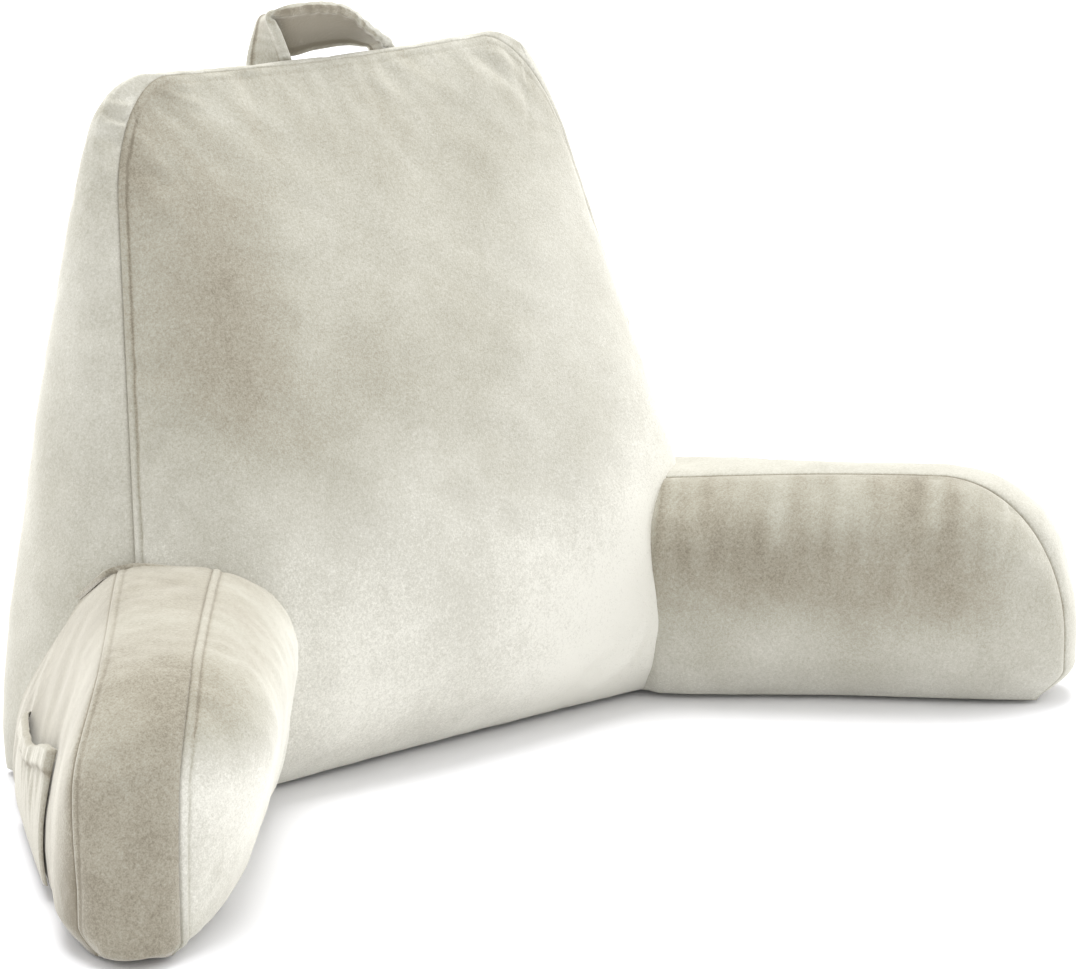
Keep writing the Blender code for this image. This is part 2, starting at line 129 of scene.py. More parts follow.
# Folds on a panel. A row gives one fold: both coordinates of its start and of its end, its width,
# height and bend. Across it the height is one minus x squared, times a bell, and along it a sine
# fades it out at both ends
def folds(a, b, table):
    height = np.zeros_like(a)
    for a0, b0, a1, b1, width, rise, bend in table:
        along = np.array([a1 - a0, b1 - b0])
        length = np.hypot(*along)
        along = along / length
        s = ((a - a0) * along[0] + (b - b0) * along[1]) / length
        off = (b - b0) * along[0] - (a - a0) * along[1] - bend * 4.0 * s * (1.0 - s)
        arch = np.sin(np.pi * np.clip(s, 0.0, 1.0))
        x = off / (width * (0.45 + 0.55 * arch))
        ends = arch ** 0.7 * (s > 0.0) * (s < 1.0)
        height += rise * (1.0 - 0.6 * x ** 2) * np.exp(-0.5 * x ** 2) * ends
    return height


# The shell of a box cut at stations: points as shares, quads that face outwards, and the grid of
# point numbers on each of its six sides
def boxShell(xs, ys, zs):
    counts = (len(xs), len(ys), len(zs))
    i, j, k = np.meshgrid(*[np.arange(n) for n in counts], indexing="ij")
    onShell = np.zeros(counts, dtype=bool)
    for index, count in zip((i, j, k), counts):
        onShell |= (index == 0) | (index == count - 1)
    number = np.full(counts, -1)
    number[onShell] = np.arange(onShell.sum())
    shares = np.column_stack([xs[i[onShell]], ys[j[onShell]], zs[k[onShell]]])
    sides = {"front": number[:, 0, :], "back": number[:, -1, :], "low": number[0], "high": number[-1],
             "base": number[:, :, 0], "top": number[:, :, -1]}
    quads = []
    for name, grid in sides.items():
        corners = [grid[:-1, :-1], grid[1:, :-1], grid[1:, 1:], grid[:-1, 1:]]
        if name in ("back", "low", "base"):
            corners.reverse()
        quads.append(np.stack(corners, axis=-1).reshape(-1, 4))
    return shares, np.vstack(quads), sides


# Sum of the cross products of each quad's diagonals at its corners, made unit length
def pointNormals(points, quads):
    p = points[quads]
    cross = np.cross(p[:, 2] - p[:, 0], p[:, 3] - p[:, 1])
    total = np.zeros_like(points)
    for axis in range(3):
        total[:, axis] = np.bincount(quads.ravel(), np.repeat(cross[:, axis], 4), len(points))
    return total / np.maximum(np.linalg.norm(total, axis=1), tiny)[:, None]


# Turns the quads round where six times the volume inside them, summed over the tetrahedra from
# the origin, is below nothing
def facingOut(points, quads):
    a, b, c, d = (points[quads[:, corner]] for corner in range(4))
    volume = (a * (np.cross(b, c) + np.cross(c, d))).sum()
    return quads[:, ::-1] if volume < 0.0 else quads


# A mesh object at the origin, smooth, with one number at each point for each mask
def makePiece(name, points, quads, masks):
    quads = facingOut(points, quads)
    mesh = bpy.data.meshes.new(name)
    mesh.vertices.add(len(points))
    mesh.vertices.foreach_set("co", points.astype(np.float32).ravel())
    mesh.loops.add(quads.size)
    mesh.loops.foreach_set("vertex_index", np.ascontiguousarray(quads, dtype=np.int32).ravel())
    mesh.polygons.add(len(quads))
    mesh.polygons.foreach_set("loop_start", np.arange(0, quads.size, 4, dtype=np.int32))
    mesh.update(calc_edges=True)
    mesh.validate()
    for mask, values in masks.items():
        layer = mesh.attributes.new(mask, "FLOAT", "POINT")
        layer.data.foreach_set("value", values.astype(np.float32))
    mesh.shade_smooth()
    piece = bpy.data.objects.new(name, mesh)
    scene.collection.objects.link(piece)
    return piece


# The four Catmull-Rom weights at a share f between the middle two of four values
def cubicWeights(f):
    return (-0.5 * f + f ** 2 - 0.5 * f ** 3, 1.0 - 2.5 * f ** 2 + 1.5 * f ** 3,
            0.5 * f + 2.0 * f ** 2 - 1.5 * f ** 3, -0.5 * f ** 2 + 0.5 * f ** 3)


# Matrix of those weights that carries values from coarse stations to fine ones
def carryWeights(coarse, fine):
    position = np.interp(fine, coarse, np.arange(len(coarse)))
    first = np.minimum(position.astype(int), len(coarse) - 2)
    weights = np.zeros((len(fine), len(coarse)))
    for step, value in zip((-1, 0, 1, 2), cubicWeights(position - first)):
        np.add.at(weights, (np.arange(len(fine)), np.clip(first + step, 0, len(coarse) - 1)), value)
    return weights


# Carries a field from the coarse shell to the fine one, side by side
def carryField(field, coarseSides, coarseCuts, fineSides, fineCuts, count):
    result = np.zeros((count, field.shape[1]))
    weights = [carryWeights(c, f) for c, f in zip(coarseCuts, fineCuts)]
    axes = {"front": (0, 2), "back": (0, 2), "low": (1, 2), "high": (1, 2), "base": (0, 1), "top": (0, 1)}
    for name, (a, b) in axes.items():
        grid = field[coarseSides[name]]
        result[fineSides[name]] = np.einsum("ia,abc,jb->ijc", weights[a], grid, weights[b], optimize=True)
    return result


# Every seam's section. The allowance is pressed to one side and stitched down, as a flat strip
seamLook = {
    "pinch": -0.0003, "pinchWidth": 0.0011,                     # the draw-in on the seam itself
    "strip": 0.0011, "stripStart": (-0.0008, 0.0014), "stripEnd": (0.0046, 0.0062),
    "groove": -0.0005, "groovePlace": (0.0070, 0.0013),         # beside the strip: distance and width
    "lineWidth": 0.0010, "stitchPlace": (0.0064, 0.0010),       # dark lines: in the pinch, at the stitches
    "leastSine": 0.7,
}


# A side's four edges: how far each point is from the edge, measured over the surface and made
# shorter by the sine of the angle that the measuring line meets the edge at, and its foot there
def panelEdges(points, grid):
    p = points[grid]
    steps = [np.linalg.norm(np.diff(p, axis=axis), axis=2) for axis in (0, 1)]
    first = np.vstack([np.zeros((1, p.shape[1])), np.cumsum(steps[0], axis=0)])
    second = np.hstack([np.zeros((p.shape[0], 1)), np.cumsum(steps[1], axis=1)])
    edges = {"firstLow": (first, p[:1], 1), "firstHigh": (first[-1:] - first, p[-1:], 1),
             "secondLow": (second, p[:, :1], 0), "secondHigh": (second[:, -1:] - second, p[:, -1:], 0)}
    measured = {}
    for name, (gap, edge, axis) in edges.items():
        along = np.gradient(edge, axis=axis)
        along /= np.maximum(np.linalg.norm(along, axis=2), tiny)[:, :, None]
        line = p - edge
        length = np.linalg.norm(line, axis=2)
        square = np.sqrt(np.maximum(length ** 2 - (line * along).sum(axis=2) ** 2, 0.0))
        sine = np.clip(square / np.maximum(length, tiny), seamLook["leastSine"], 1.0)
        measured[name] = (gap * sine, np.broadcast_to(edge, p.shape))
    return measured


# Height beside a seam: a narrow pinch on it and, where the allowance is pressed to this side, a
# flat strip that steps down at its edge into a shallow groove
def seamProfile(gap, allowance):
    pinch = seamLook["pinch"] * bell(gap, 0.0, seamLook["pinchWidth"])
    strip = seamLook["strip"] * smooth(gap, *seamLook["stripStart"]) * fade(gap, *seamLook["stripEnd"])
    return pinch + (strip + seamLook["groove"] * bell(gap, *seamLook["groovePlace"])) * allowance


# Strength of the dark lines for the material: in the pinch of a seam, and 1 along the stitches
def seamShade(gap, allowance, line):
    pinch = line * bell(gap, 0.0, seamLook["lineWidth"])
    return np.clip(pinch + bell(gap, *seamLook["stitchPlace"]) * allowance, 0.0, 1.0)


# Puckers: uneven ridges square to the seam, even along lines from it, strongest a little way in
def puckers(gap, foot, size, wavelength, reach, seed):
    lines = ripples(foot.reshape(-1, 3), wavelength, seed).reshape(gap.shape)
    patchy = 0.55 + 0.45 * ripples(foot.reshape(-1, 3), wavelength * 4.5, seed + 1).reshape(gap.shape)
    return size * lines * np.clip(patchy, 0.0, 2.0) * smooth(gap, 0.0, 0.006) * np.exp(-gap / reach)


# Adds up the seams of every side. The plan names, for each side, its edges with the allowance's
# share and the puckers' size, wavelength and reach. Gives each point's height, dark line and
# distance from the nearest seam
def dressSeams(points, sides, plan, seed, line=0.3):
    height, shade, nearest = np.zeros(len(points)), np.zeros(len(points)), np.ones(len(points))
    for name, edges in plan.items():
        grid = sides[name]
        measured = panelEdges(points, grid)
        closest, allowance, ridges = np.ones(grid.shape), np.zeros(grid.shape), np.zeros(grid.shape)
        for edge, (share, size, wavelength, reach) in edges.items():
            gap, foot = measured[edge]
            allowance = np.where(gap < closest, share, allowance)
            closest = np.minimum(gap, closest)
            if size:
                ridges += puckers(gap, foot, size, wavelength, reach, seed)
            seed += 3
        height[grid] = ridges + seamProfile(closest, allowance)
        shade[grid] = seamShade(closest, allowance, line)
        nearest[grid] = np.minimum(closest, nearest[grid])
    return height, shade, nearest


# The cloth runs' shared settings; each piece adds how stiffly it bends and its extra cloth
clothRun = {"quality": 5, "mass": 0.25, "stiffness": 14.0, "shearShare": 0.4, "pressure": 2.5, "frames": 18,
            "holds": 10}        # steps of the holding strength


# Points that a run holds: the seams, where two sides of the box meet, and the base
def heldPoints(shares):
    ends = sum(atEnds(shares[:, axis]).astype(int) for axis in range(3))
    return np.maximum((ends > 1) * 1.0, (shares[:, 2] < hair) * 1.0)


# Pressure inside the closed cloth, no gravity, held at the pinned points; returns the new points
def inflate(name, points, quads, held, look):
    mesh = bpy.data.meshes.new(name + "Cloth")
    mesh.from_pydata(points.tolist(), [], quads.tolist())
    cloth = bpy.data.objects.new(name + "Cloth", mesh)
    scene.collection.objects.link(cloth)
    pins = cloth.vertex_groups.new(name="held")
    for level in range(1, clothRun["holds"] + 1):
        chosen = np.nonzero(np.round(held * clothRun["holds"]) == level)[0]
        if len(chosen):
            pins.add(chosen.tolist(), level / clothRun["holds"], "REPLACE")
    run = cloth.modifiers.new("cloth", "CLOTH")
    run.settings.quality = clothRun["quality"]
    run.settings.mass = clothRun["mass"]
    run.settings.tension_stiffness = run.settings.compression_stiffness = clothRun["stiffness"]
    run.settings.shear_stiffness = clothRun["stiffness"] * clothRun["shearShare"]
    run.settings.bending_stiffness = look["bending"]
    run.settings.use_pressure = True
    run.settings.uniform_pressure_force = clothRun["pressure"]
    run.settings.shrink_min = -look["extraCloth"]
    run.settings.effector_weights.gravity = 0.0
    run.settings.vertex_group_mass = "held"
    run.collision_settings.use_collision = False
    run.point_cache.frame_start, run.point_cache.frame_end = 1, clothRun["frames"]
    for step in range(1, clothRun["frames"] + 1):
        scene.frame_set(step)
    done = cloth.evaluated_get(bpy.context.evaluated_depsgraph_get()).data
    result = np.empty(len(points) * 3, dtype=np.float32)
    done.vertices.foreach_get("co", result)
    scene.frame_set(1)
    bpy.data.objects.remove(cloth, do_unlink=True)
    return result.reshape(-1, 3).astype(float)


# Each point's move from the full shape to where a run from the slack shape leaves it. The move's
# length is the cap times the hyperbolic tangent of its share of the cap
def clothMoves(name, slack, full, quads, held, look):
    move = inflate(name, slack, facingOut(slack, quads), held, look) - full
    length = np.linalg.norm(move, axis=1)
    print(name, "cloth moved up to %.1f mm" % (1000.0 * length.max()))
    return move * (np.tanh(length / look["cap"]) * look["cap"] / np.maximum(length, tiny))[:, None]


plainEdge = (0.0, 0.0, 0.0, 0.0)
backrest = {
    "height": 0.497, "baseHalf": 0.290, "topHalf": 0.201, "lean": 0.144,
    "topArch": -0.0063, "topLift": 0.0085,      # the top edge: sunk in its middle, lifted as a whole
    "baseDepth": 0.169, "topDepth": 0.009, "depthCurve": 1.3,
    # rounding of the top corners, across and down: at the front seam, and behind it
    "frontCorner": (0.050, 0.079), "corner": (0.040, 0.042),
    "seamInset": (0.0048, -0.00432),    # the front seam inside the gusset's outline: left and right
    "frontCrown": 0.080, "backCrown": 0.038, "footHollow": 0.011,
    "gussetTop": 0.0022, "gussetSide": 0.0252, "rightGusset": 0.94,
    "gussetGrowth": 0.05, "gussetFoot": 0.14,   # the depth it grows over; its rounding at the floor
    "seamLift": 0.0065, "lip": 0.003, "lipRise": 0.03,      # the seams' height, and the foot seam's
    "lipReach": 0.030,          # how far in the base meets the floor
    "originDepth": 0.085,       # the front foot seam's distance in front of the origin
    "slack": 0.93,              # swell before the cloth run, as a share of the full one
    "cap": 0.006, "bending": 0.6, "extraCloth": 0.003,
    # fine and coarse step, and how far from a seam the steps are coarse
    "fineSteps": (0.0009, 0.0037, 0.030), "coarseSteps": (0.0070, 0.0090, 0.050),
    # share of the cloth run that the gusset takes, and that the right side loses, and where it comes in
    "gussetRun": (0.5, 0.12, 0.22), "rightRun": (-0.7, 0.12, 0.22),
    "lumps": ((0.0006, 0.12, 3), (0.00025, 0.04, 4)),       # size, wavelength and seed
    "seed": 100,
    # for each side of the shell: its edges, with the allowance's share and the puckers' size,
    # wavelength and reach
    "seams": {
        "front": {"firstLow": (1.0, 0.0004, 0.020, 0.020), "firstHigh": (0.3, 0.0002, 0.022, 0.020),
                  "secondHigh": (0.25, 0.0009, 0.026, 0.035), "secondLow": (0.0, 0.0004, 0.030, 0.020)},
        "back": {"firstLow": (1.0, 0.0005, 0.020, 0.020), "firstHigh": (1.0, 0.0005, 0.022, 0.020),
                 "secondHigh": (0.6, 0.0007, 0.026, 0.030), "secondLow": (0.0, 0.0004, 0.030, 0.020)},
        "low": {"firstLow": (0.0, 0.0008, 0.022, 0.018), "firstHigh": (0.0, 0.0004, 0.024, 0.020),
                "secondLow": plainEdge},
        "high": {"firstLow": (0.0, 0.0008, 0.022, 0.022), "firstHigh": (0.0, 0.0007, 0.024, 0.020),
                 "secondLow": plainEdge},
        "top": {"secondLow": plainEdge, "secondHigh": plainEdge},
        "base": {"firstLow": plainEdge, "firstHigh": plainEdge,
                 "secondLow": plainEdge, "secondHigh": plainEdge},
    },
    # folds on the front panel, by x and z
    "frontFolds": (
        (-0.160, 0.503, -0.118, 0.484, 0.0030, 0.0016, -0.002),
        (-0.166, 0.492, -0.140, 0.470, 0.0050, -0.0012, 0.0),
        (0.155, 0.500, 0.190, 0.462, 0.0060, 0.0016, 0.004),
        (0.140, 0.500, 0.172, 0.470, 0.0050, -0.0010, 0.0),
        (0.020, 0.500, 0.070, 0.455, 0.0060, 0.0009, 0.004),
        (0.050, 0.503, 0.105, 0.470, 0.0060, 0.0009, 0.003),
        (-0.020, 0.020, 0.050, 0.060, 0.0090, 0.0016, 0.004),
        (0.120, 0.018, 0.175, 0.075, 0.0080, 0.0020, -0.006),
        (0.090, 0.022, 0.150, 0.060, 0.0090, -0.0014, 0.0),
    ),
    # folds on the gusset's left side, by y and z
    "gussetFolds": (
        (0.0620, 0.4860, 0.0330, 0.4640, 0.0017, 0.0024, 0.0),
        (0.0600, 0.4900, 0.0370, 0.4710, 0.0017, -0.0018, 0.0),
        (0.0640, 0.4980, 0.0440, 0.4860, 0.0022, 0.0016, 0.001),
        (0.0620, 0.4780, 0.0340, 0.4580, 0.0030, -0.0014, 0.0),
        (0.0600, 0.4550, 0.0270, 0.4420, 0.0040, 0.0012, 0.002),
        (0.0560, 0.4350, 0.0230, 0.4280, 0.0040, -0.0010, 0.002),
        (0.0700, 0.4000, 0.0150, 0.3800, 0.0070, 0.0010, 0.006),
    ),
    # painted shade and light, over the pile's own tone: a row is an amount, and the two places it comes in or
    # goes out between
    "pile": {
        "front": 0.63, "gusset": 0.80,
        # painted shade: the dark band at the left of the front panel, where it curves round to its seam
        "band": (-0.40, 0.18, 0.32),                                # the dark band at the left
        "bandPlace": (-0.168, 0.054), "bandLean": (0.10, 0.35),     # its x and width; slope, and height there
        # painted light: lighter towards the floor, where the floor's light falls on the low panel, and at the
        # foot
        "low": (0.52, 0.10, 0.28), "foot": (0.20, 0.0, 0.03),       # lighter towards the floor
        # painted light: lighter to the right, as the sheen there
        "right": (0.28, 0.02, 0.20), "rightTop": (0.30, 0.48),      # and to the right, up to these heights
        "streaks": (0.04, 0.38, 0.49), "streakPlace": (0.022, 12),  # wavelength and seed
        "gussetLow": (-0.08, 0.05, 0.25), "crumple": (0.08, 0.44, 0.485), "crumplePlace": (0.018, 15),
        "drift": 0.05, "driftPlace": (0.12, 11),
    },
}


# Half the width at a share of the height, on a straight line
def bodyHalf(t):
    return blend(backrest["baseHalf"], backrest["topHalf"], t)


# Depth from the front panel to the back one, thinned by a power of the height
def bodyDepth(t):
    return blend(backrest["baseDepth"], backrest["topDepth"], np.clip(t, 0.0, 1.0) ** backrest["depthCurve"])


# A sine of the height's power, times the swell across: fullest a third of the way up
def frontSwell(reach, t):
    rise = np.sin(np.pi * np.clip(t, 0.0, 1.0) ** 0.60) ** 0.90
    return backrest["frontCrown"] * rise * swell(reach, 0.44)


# The same for the back, flatter and fullest a little higher up
def backSwell(reach, t):
    rise = np.sin(np.pi * np.clip(t, 0.0, 1.0) ** 0.70) ** 0.60
    return backrest["backCrown"] * rise * swell(reach, 0.50)


# Grows from the narrow top to the wide side as an exponential of its width, rounded in at the foot
def gussetSwell(deep, t):
    wide = 1.0 - np.exp((backrest["topDepth"] - bodyDepth(t)) / backrest["gussetGrowth"])
    crown = backrest["gussetTop"] + backrest["gussetSide"] * wide
    return crown * quarterRound(t, backrest["gussetFoot"]) * swell(deep, 0.45)


# Box shares (across, deep, up) to the wedge: seams with a rounded corner first, tighter at the
# front than behind, then each panel's swell
def bodyPoints(shares, fill=1.0):
    look = backrest
    across, deep, up = 2.0 * shares[:, 0] - 1.0, 2.0 * shares[:, 1] - 1.0, shares[:, 2]
    side, reach = np.sign(across), np.abs(across)
    behind = smooth(deep, -1.0, -0.3)
    cornerX, cornerZ = (blend(f, c, behind) / whole for f, c, whole in
                        zip(look["frontCorner"], look["corner"], (look["topHalf"], look["height"])))
    p, q = roundCorner(np.clip((reach - 1.0 + cornerX) / cornerX, 0.0, 1.0),
                       np.clip((up - 1.0 + cornerZ) / cornerZ, 0.0, 1.0))
    reachIn = np.where(reach > 1.0 - cornerX, 1.0 - cornerX + cornerX * p, reach)
    t = np.where(up > 1.0 - cornerZ, 1.0 - cornerZ + cornerZ * q, up)
    half = bodyHalf(t) - np.where(side < 0.0, *look["seamInset"]) * (1.0 - behind)
    x = side * reachIn * half
    z = look["seamLift"] + look["height"] * t + look["topArch"] * up ** 4 * (1.0 - reach ** 2)
    z += look["topLift"] * t ** 8 - (look["seamLift"] - look["lip"]) * fade(t, 0.0, look["lipRise"])
    y = look["lean"] * t + 0.5 * (deep + 1.0) * bodyDepth(t)
    y += look["footHollow"] * (1.0 - reach ** 2) * (1.0 - t) ** 6 * (deep < 0.0)

    onSide, onTop, onBase = reach > 1.0 - hair, up > 1.0 - hair, up < hair
    y -= (deep < hair - 1.0) * frontSwell(reach, up) * fill
    y += (deep > 1.0 - hair) * backSwell(reach, up) * fill
    bulge = gussetSwell(deep, t) * fill * np.where(side < 0.0, 1.0, look["rightGusset"])
    x += onSide * side * bulge * np.where(onTop | (q > 0.0), p, 1.0)
    z += (onSide & (q > 0.0)) * bulge * q
    z += (onTop & ~onSide) * bulge * np.where(p > 0.0, q, 1.0)
    x += (onTop & ~onSide) * side * bulge * p

    # The base is flat and rises gently to the foot seams
    inward = np.minimum((1.0 - reach) * half, 0.5 * (1.0 - np.abs(deep)) * look["baseDepth"])
    z = np.where(onBase, look["lip"] * fade(inward, 0.0, look["lipReach"]), z)
    return np.column_stack([x, y - look["originDepth"], z])


# Stations across, deep and up, each spaced along the panel's section through its middle
def bodyCuts(steps):
    sections = (lambda s: np.column_stack([0.50 * s, frontSwell(2.0 * s - 1.0, 0.35)]),
                lambda s: np.column_stack([0.10 * s, gussetSwell(2.0 * s - 1.0, 0.50)]),
                lambda s: np.column_stack([0.50 * s, frontSwell(0.0, s)]))
    return [stationsOn(section, *steps) for section in sections]


# Painted shade and light with the pile's own tone, as a shade from 0, dark, to 1, light: the
# panel's own shade and the sum of its rows
def bodyNapAndPaintedShade(points, deep):
    look, x, z = backrest["pile"], points[:, 0], points[:, 2]
    slope, level = look["bandLean"]
    front = look["front"] + comeIn(z, *look["band"]) * bell(x + slope * (z - level), *look["bandPlace"])
    front += goOut(z, *look["low"]) + goOut(z, *look["foot"])
    front += comeIn(x, *look["right"]) * fade(z, *look["rightTop"])
    front += comeIn(z, *look["streaks"]) * streaks(x + 0.6 * z, z, 0.25, *look["streakPlace"])
    gusset = look["gusset"] + goOut(z, *look["gussetLow"])
    gusset += comeIn(z, *look["crumple"]) * ripples(points, *look["crumplePlace"])
    drift = look["drift"] * ripples(points, *look["driftPlace"])
    return np.where(deep < hair - 1.0, front, gusset) + drift


# The wedge, its cloth run, then seams and folds raised along the normals
def makeBackrest():
    look = backrest
    cuts = bodyCuts(look["fineSteps"])
    shares, quads, sides = boxShell(*cuts)
    points = bodyPoints(shares)
    onFace = atEnds(shares[:, 1])
    coarseCuts = bodyCuts(look["coarseSteps"])
    coarse, coarseQuads, coarseSides = boxShell(*coarseCuts)
    slack, full = bodyPoints(coarse, look["slack"]), bodyPoints(coarse)
    move = clothMoves("backrest", slack, full, coarseQuads, heldPoints(coarse), look)
    move = carryField(move, coarseSides, coarseCuts, sides, cuts, len(points))
    calm = np.where(onFace, 1.0, comeIn(points[:, 2], *look["gussetRun"]))
    calm *= 1.0 + comeIn(points[:, 0], *look["rightRun"])
    points = points + move * calm[:, None]

    deep, up = 2.0 * shares[:, 1] - 1.0, shares[:, 2]
    height, shade, gap = dressSeams(points, sides, look["seams"], look["seed"])
    for size, wavelength, seed in look["lumps"]:
        height += smooth(gap, 0.0, 0.03) * size * ripples(points, wavelength, seed)
    inside = smooth(gap, 0.0, 0.004)
    height += folds(points[:, 0], points[:, 2], look["frontFolds"]) * (deep < hair - 1.0) * inside
    height += folds(points[:, 1], points[:, 2], look["gussetFolds"]) * ~onFace * (points[:, 0] < 0.0) * inside
    points = points + pointNormals(points, quads) * (height * (up > hair))[:, None]
    points[:, 2] = np.maximum(points[:, 2], 0.0)
    return makePiece("backrestPlush", points, quads, {"seam": shade, "napAndPaintedShade": bodyNapAndPaintedShade(points, deep)})


arm = {
    "root": (-0.221, 0.003), "splay": np.radians(40.4), "length": 0.314,
    "seamHeight": 0.165, "rise": 0.009, "riseRun": 0.21, "cornerLength": 0.100, "cornerDrop": 0.125,
    "bandRoot": 0.068, "bandFront": 0.060, "bandTilt": 0.008,
    "crownTop": 0.005, "crownFront": (0.0145, 0.014),       # the band's crown: far arm, near arm
    "innerFoot": 0.010, "rootFoot": 0.012, "outerFoot": 0.060,
    "innerBelly": 0.09765, "farBelly": 0.88, "outerBelly": (0.0304, 0.0684),    # outer: front end, root
    # where the inner seams run to inside the backrest: foot and top
    "hidden": ((-0.180, 0.150, 0.0), (-0.200, 0.150, 0.090)),
    # behind the root: depth and height of the outer panel's top edge, and depth of its foot
    "wrap": ((0.072, 0.150, 0.114), (0.102, 0.127, 0.130), (0.130, 0.106, 0.143), (0.152, 0.090, 0.154)),
    "wrapRear": 0.155, "wrapLength": 0.11,
    "wrapSink": 0.003,              # how far its edge is pressed into the gusset
    "frontFoot": (0.13, 0.06),      # the front end's rounding at the floor: far arm, near arm
    # how far the front end stands out, and the heights' shares it goes out between: far arm, near arm
    "footRoll": ((-0.006, 0.40, 0.90), (0.010, 0.0, 0.5)),
    # how far the far arm's front end is tucked back, and where that goes out: upwards, and along
    "footTuck": (0.020, 0.0, 0.16), "tuckAlong": (0.0, 0.2),
    "rootLift": (0.0055, 0.2, 0.9),         # how much higher the near arm's root is, and where it comes in
    "bow": (0.006, 0.0125),         # how far the near arm's front seams bow outwards: inner, outer
    "bowAlong": (0.0, 0.32),
    "lip": (0.0025, 0.0, 0.06), "lipBehind": (1.0, 1.4),    # the foot seam's height, and where it goes out
    "lipReach": 0.024,              # how far in the base meets the floor
    "slack": 0.94, "cap": 0.004, "bending": 0.8, "extraCloth": 0.0,
    "fineSteps": (0.0009, 0.0030, 0.022), "coarseSteps": (0.0055, 0.0065, 0.040),
    "bandRun": 0.35, "outerRun": 0.4,       # how much of the cloth run the band and outer panel take
    "lumps": ((0.0005, 0.06), (0.00025, 0.025)), "outerLumps": 0.3,     # size and wavelength; share there
    "drift": 0.05, "driftLength": 0.08,     # soft changes of the pile's lie, and their wavelength
}
armForward = np.array([-np.sin(arm["splay"]), -np.cos(arm["splay"])])
armOutward = np.array([-np.cos(arm["splay"]), np.sin(arm["splay"])])
cornerAlong = arm["cornerLength"] / arm["length"]
cornerUp = arm["cornerDrop"] / (arm["seamHeight"] + arm["rise"])


# Moves the points level along a direction, each by its own distance
def slide(points, distance, direction):
    points[:, :2] += distance[:, None] * direction


# Half the backrest's width at a depth and height on its gusset, with the gusset's swell
def bodySide(y, z):
    t = (z - backrest["seamLift"]) / backrest["height"]
    deep = np.clip(2.0 * (y - backrest["lean"] * t) / bodyDepth(t) - 1.0, -1.0, 1.0)
    return bodyHalf(t) + gussetSwell(deep, t)


# Rounds the front top corner: shares along (0 front, 1 root) and up to the side outline
def armOutline(along, up):
    p, q = roundCorner(np.clip((cornerAlong - along) / cornerAlong, 0.0, 1.0),
                       np.clip((up - 1.0 + cornerUp) / cornerUp, 0.0, 1.0))
    share = np.where(along < cornerAlong, cornerAlong * (1.0 - p), along)
    height = np.where(up > 1.0 - cornerUp, 1.0 - cornerUp + cornerUp * q, up)
    return share, height, p, q


# The arm's four seams at a share along it: inner foot, inner top, outer foot and outer top. The
# top rises as a quarter sine from the root, and behind the root the inner two are led deep into
# the backrest
def armSeams(share):
    s = np.clip(share, 0.0, 1.0)
    nearRoot = smooth(s, 0.5, 1.0)
    distance = arm["length"] * (1.0 - s)
    width = blend(arm["bandFront"], arm["bandRoot"], s)
    foot = -arm["innerFoot"] * (1.0 - (1.0 - s) ** 1.6) - arm["rootFoot"] * nearRoot
    rise = arm["rise"] * np.sin(0.5 * np.pi * np.clip(distance / arm["riseRun"], 0.0, 1.0))
    top = backrest["seamLift"] + arm["seamHeight"] + rise
    offsets = (foot, 0.0 * s, width + arm["outerFoot"] * s ** 0.62, width)
    heights = (0.0 * s, top, 0.0 * s, top - arm["bandTilt"] * (1.0 - 0.8 * nearRoot))
    middle = np.array(arm["root"]) + distance[:, None] * armForward
    lines = [np.column_stack([middle + o[:, None] * armOutward, h]) for o, h in zip(offsets, heights)]
    deep = np.clip(share - 1.0, 0.0, 1.0)[:, None]
    for line, target in zip(lines[:2], arm["hidden"]):
        line += deep * (np.array(target) - line)
    return lines


# Straight line of the outer panel from its foot seam to its top seam
def outerLine(share, up):
    _, _, foot, top = armSeams(share)
    return blend(foot, top, up[:, None])


# The outer panel behind the root lies on the gusset: it starts from the panel's own section at
# the root, and what it stands off the gusset dies away as a power that keeps its slope
def wrapPoints(behind, up, near):
    rows = np.array(arm["wrap"])
    steps = np.arange(len(rows) + 1) / len(rows)
    atRoot = np.ones_like(up)
    rootTop, rootFoot = outerLine(np.ones(1), np.ones(1))[0], outerLine(np.ones(1), np.zeros(1))[0]
    topY, topZ, footY = (np.interp(behind, steps, np.append(first, rows[:, column]))
                         for column, first in enumerate((rootTop[1], rootTop[2], rootFoot[1])))
    start = outerLine(atRoot, up)
    slide(start, outerBelly(atRoot, up), armOutward)
    bent = start[:, 1] - blend(rootFoot[1], rootTop[1], up)
    y = blend(footY, topY, up) + bent * (1.0 - behind)
    z = (topZ + near * arm["rootLift"][0] * fade(behind, 0.0, 1.0)) * up
    off = -start[:, 0] - bodySide(start[:, 1], start[:, 2])
    power = np.clip(0.80 * (arm["wrapRear"] - start[:, 1]) / np.maximum(off, 0.002), 1.3, 6.0)
    lift = off * (1.0 - behind) ** power - arm["wrapSink"] * smooth(behind, 0.0, 0.35)
    return np.column_stack([-(bodySide(y, z) + lift), y, z])


# 1 inside the panel and 0 on its top and front seams: one minus the squared distance from the
# middle, in units of the rounded corner, to a power
def armEdge(share, height):
    p = np.clip((cornerAlong - share) / cornerAlong, 0.0, 1.0)
    q = np.clip((height - 1.0 + cornerUp) / cornerUp, 0.0, 1.0)
    return np.clip(1.0 - p ** 2 - q ** 2, 0.0, 1.0) ** 0.6


# The inner panel rises as a power of the height, drawn in a little below its middle
def innerBelly(share, height):
    rise = np.clip(height, 0.0, 1.0) ** 0.62 * (1.0 - 0.2 * bell(height, 0.42, 0.28))
    return arm["innerBelly"] * rise * armEdge(share, height)


# The outer panel rises faster and is fullest lower down, more so near the root
def outerBelly(share, height):
    size = blend(*arm["outerBelly"], np.clip(share, 0.0, 1.0) ** 2)
    return size * np.clip(height, 0.0, 1.0) ** 0.45 * (1.0 - 0.5 * height) * armEdge(share, height)


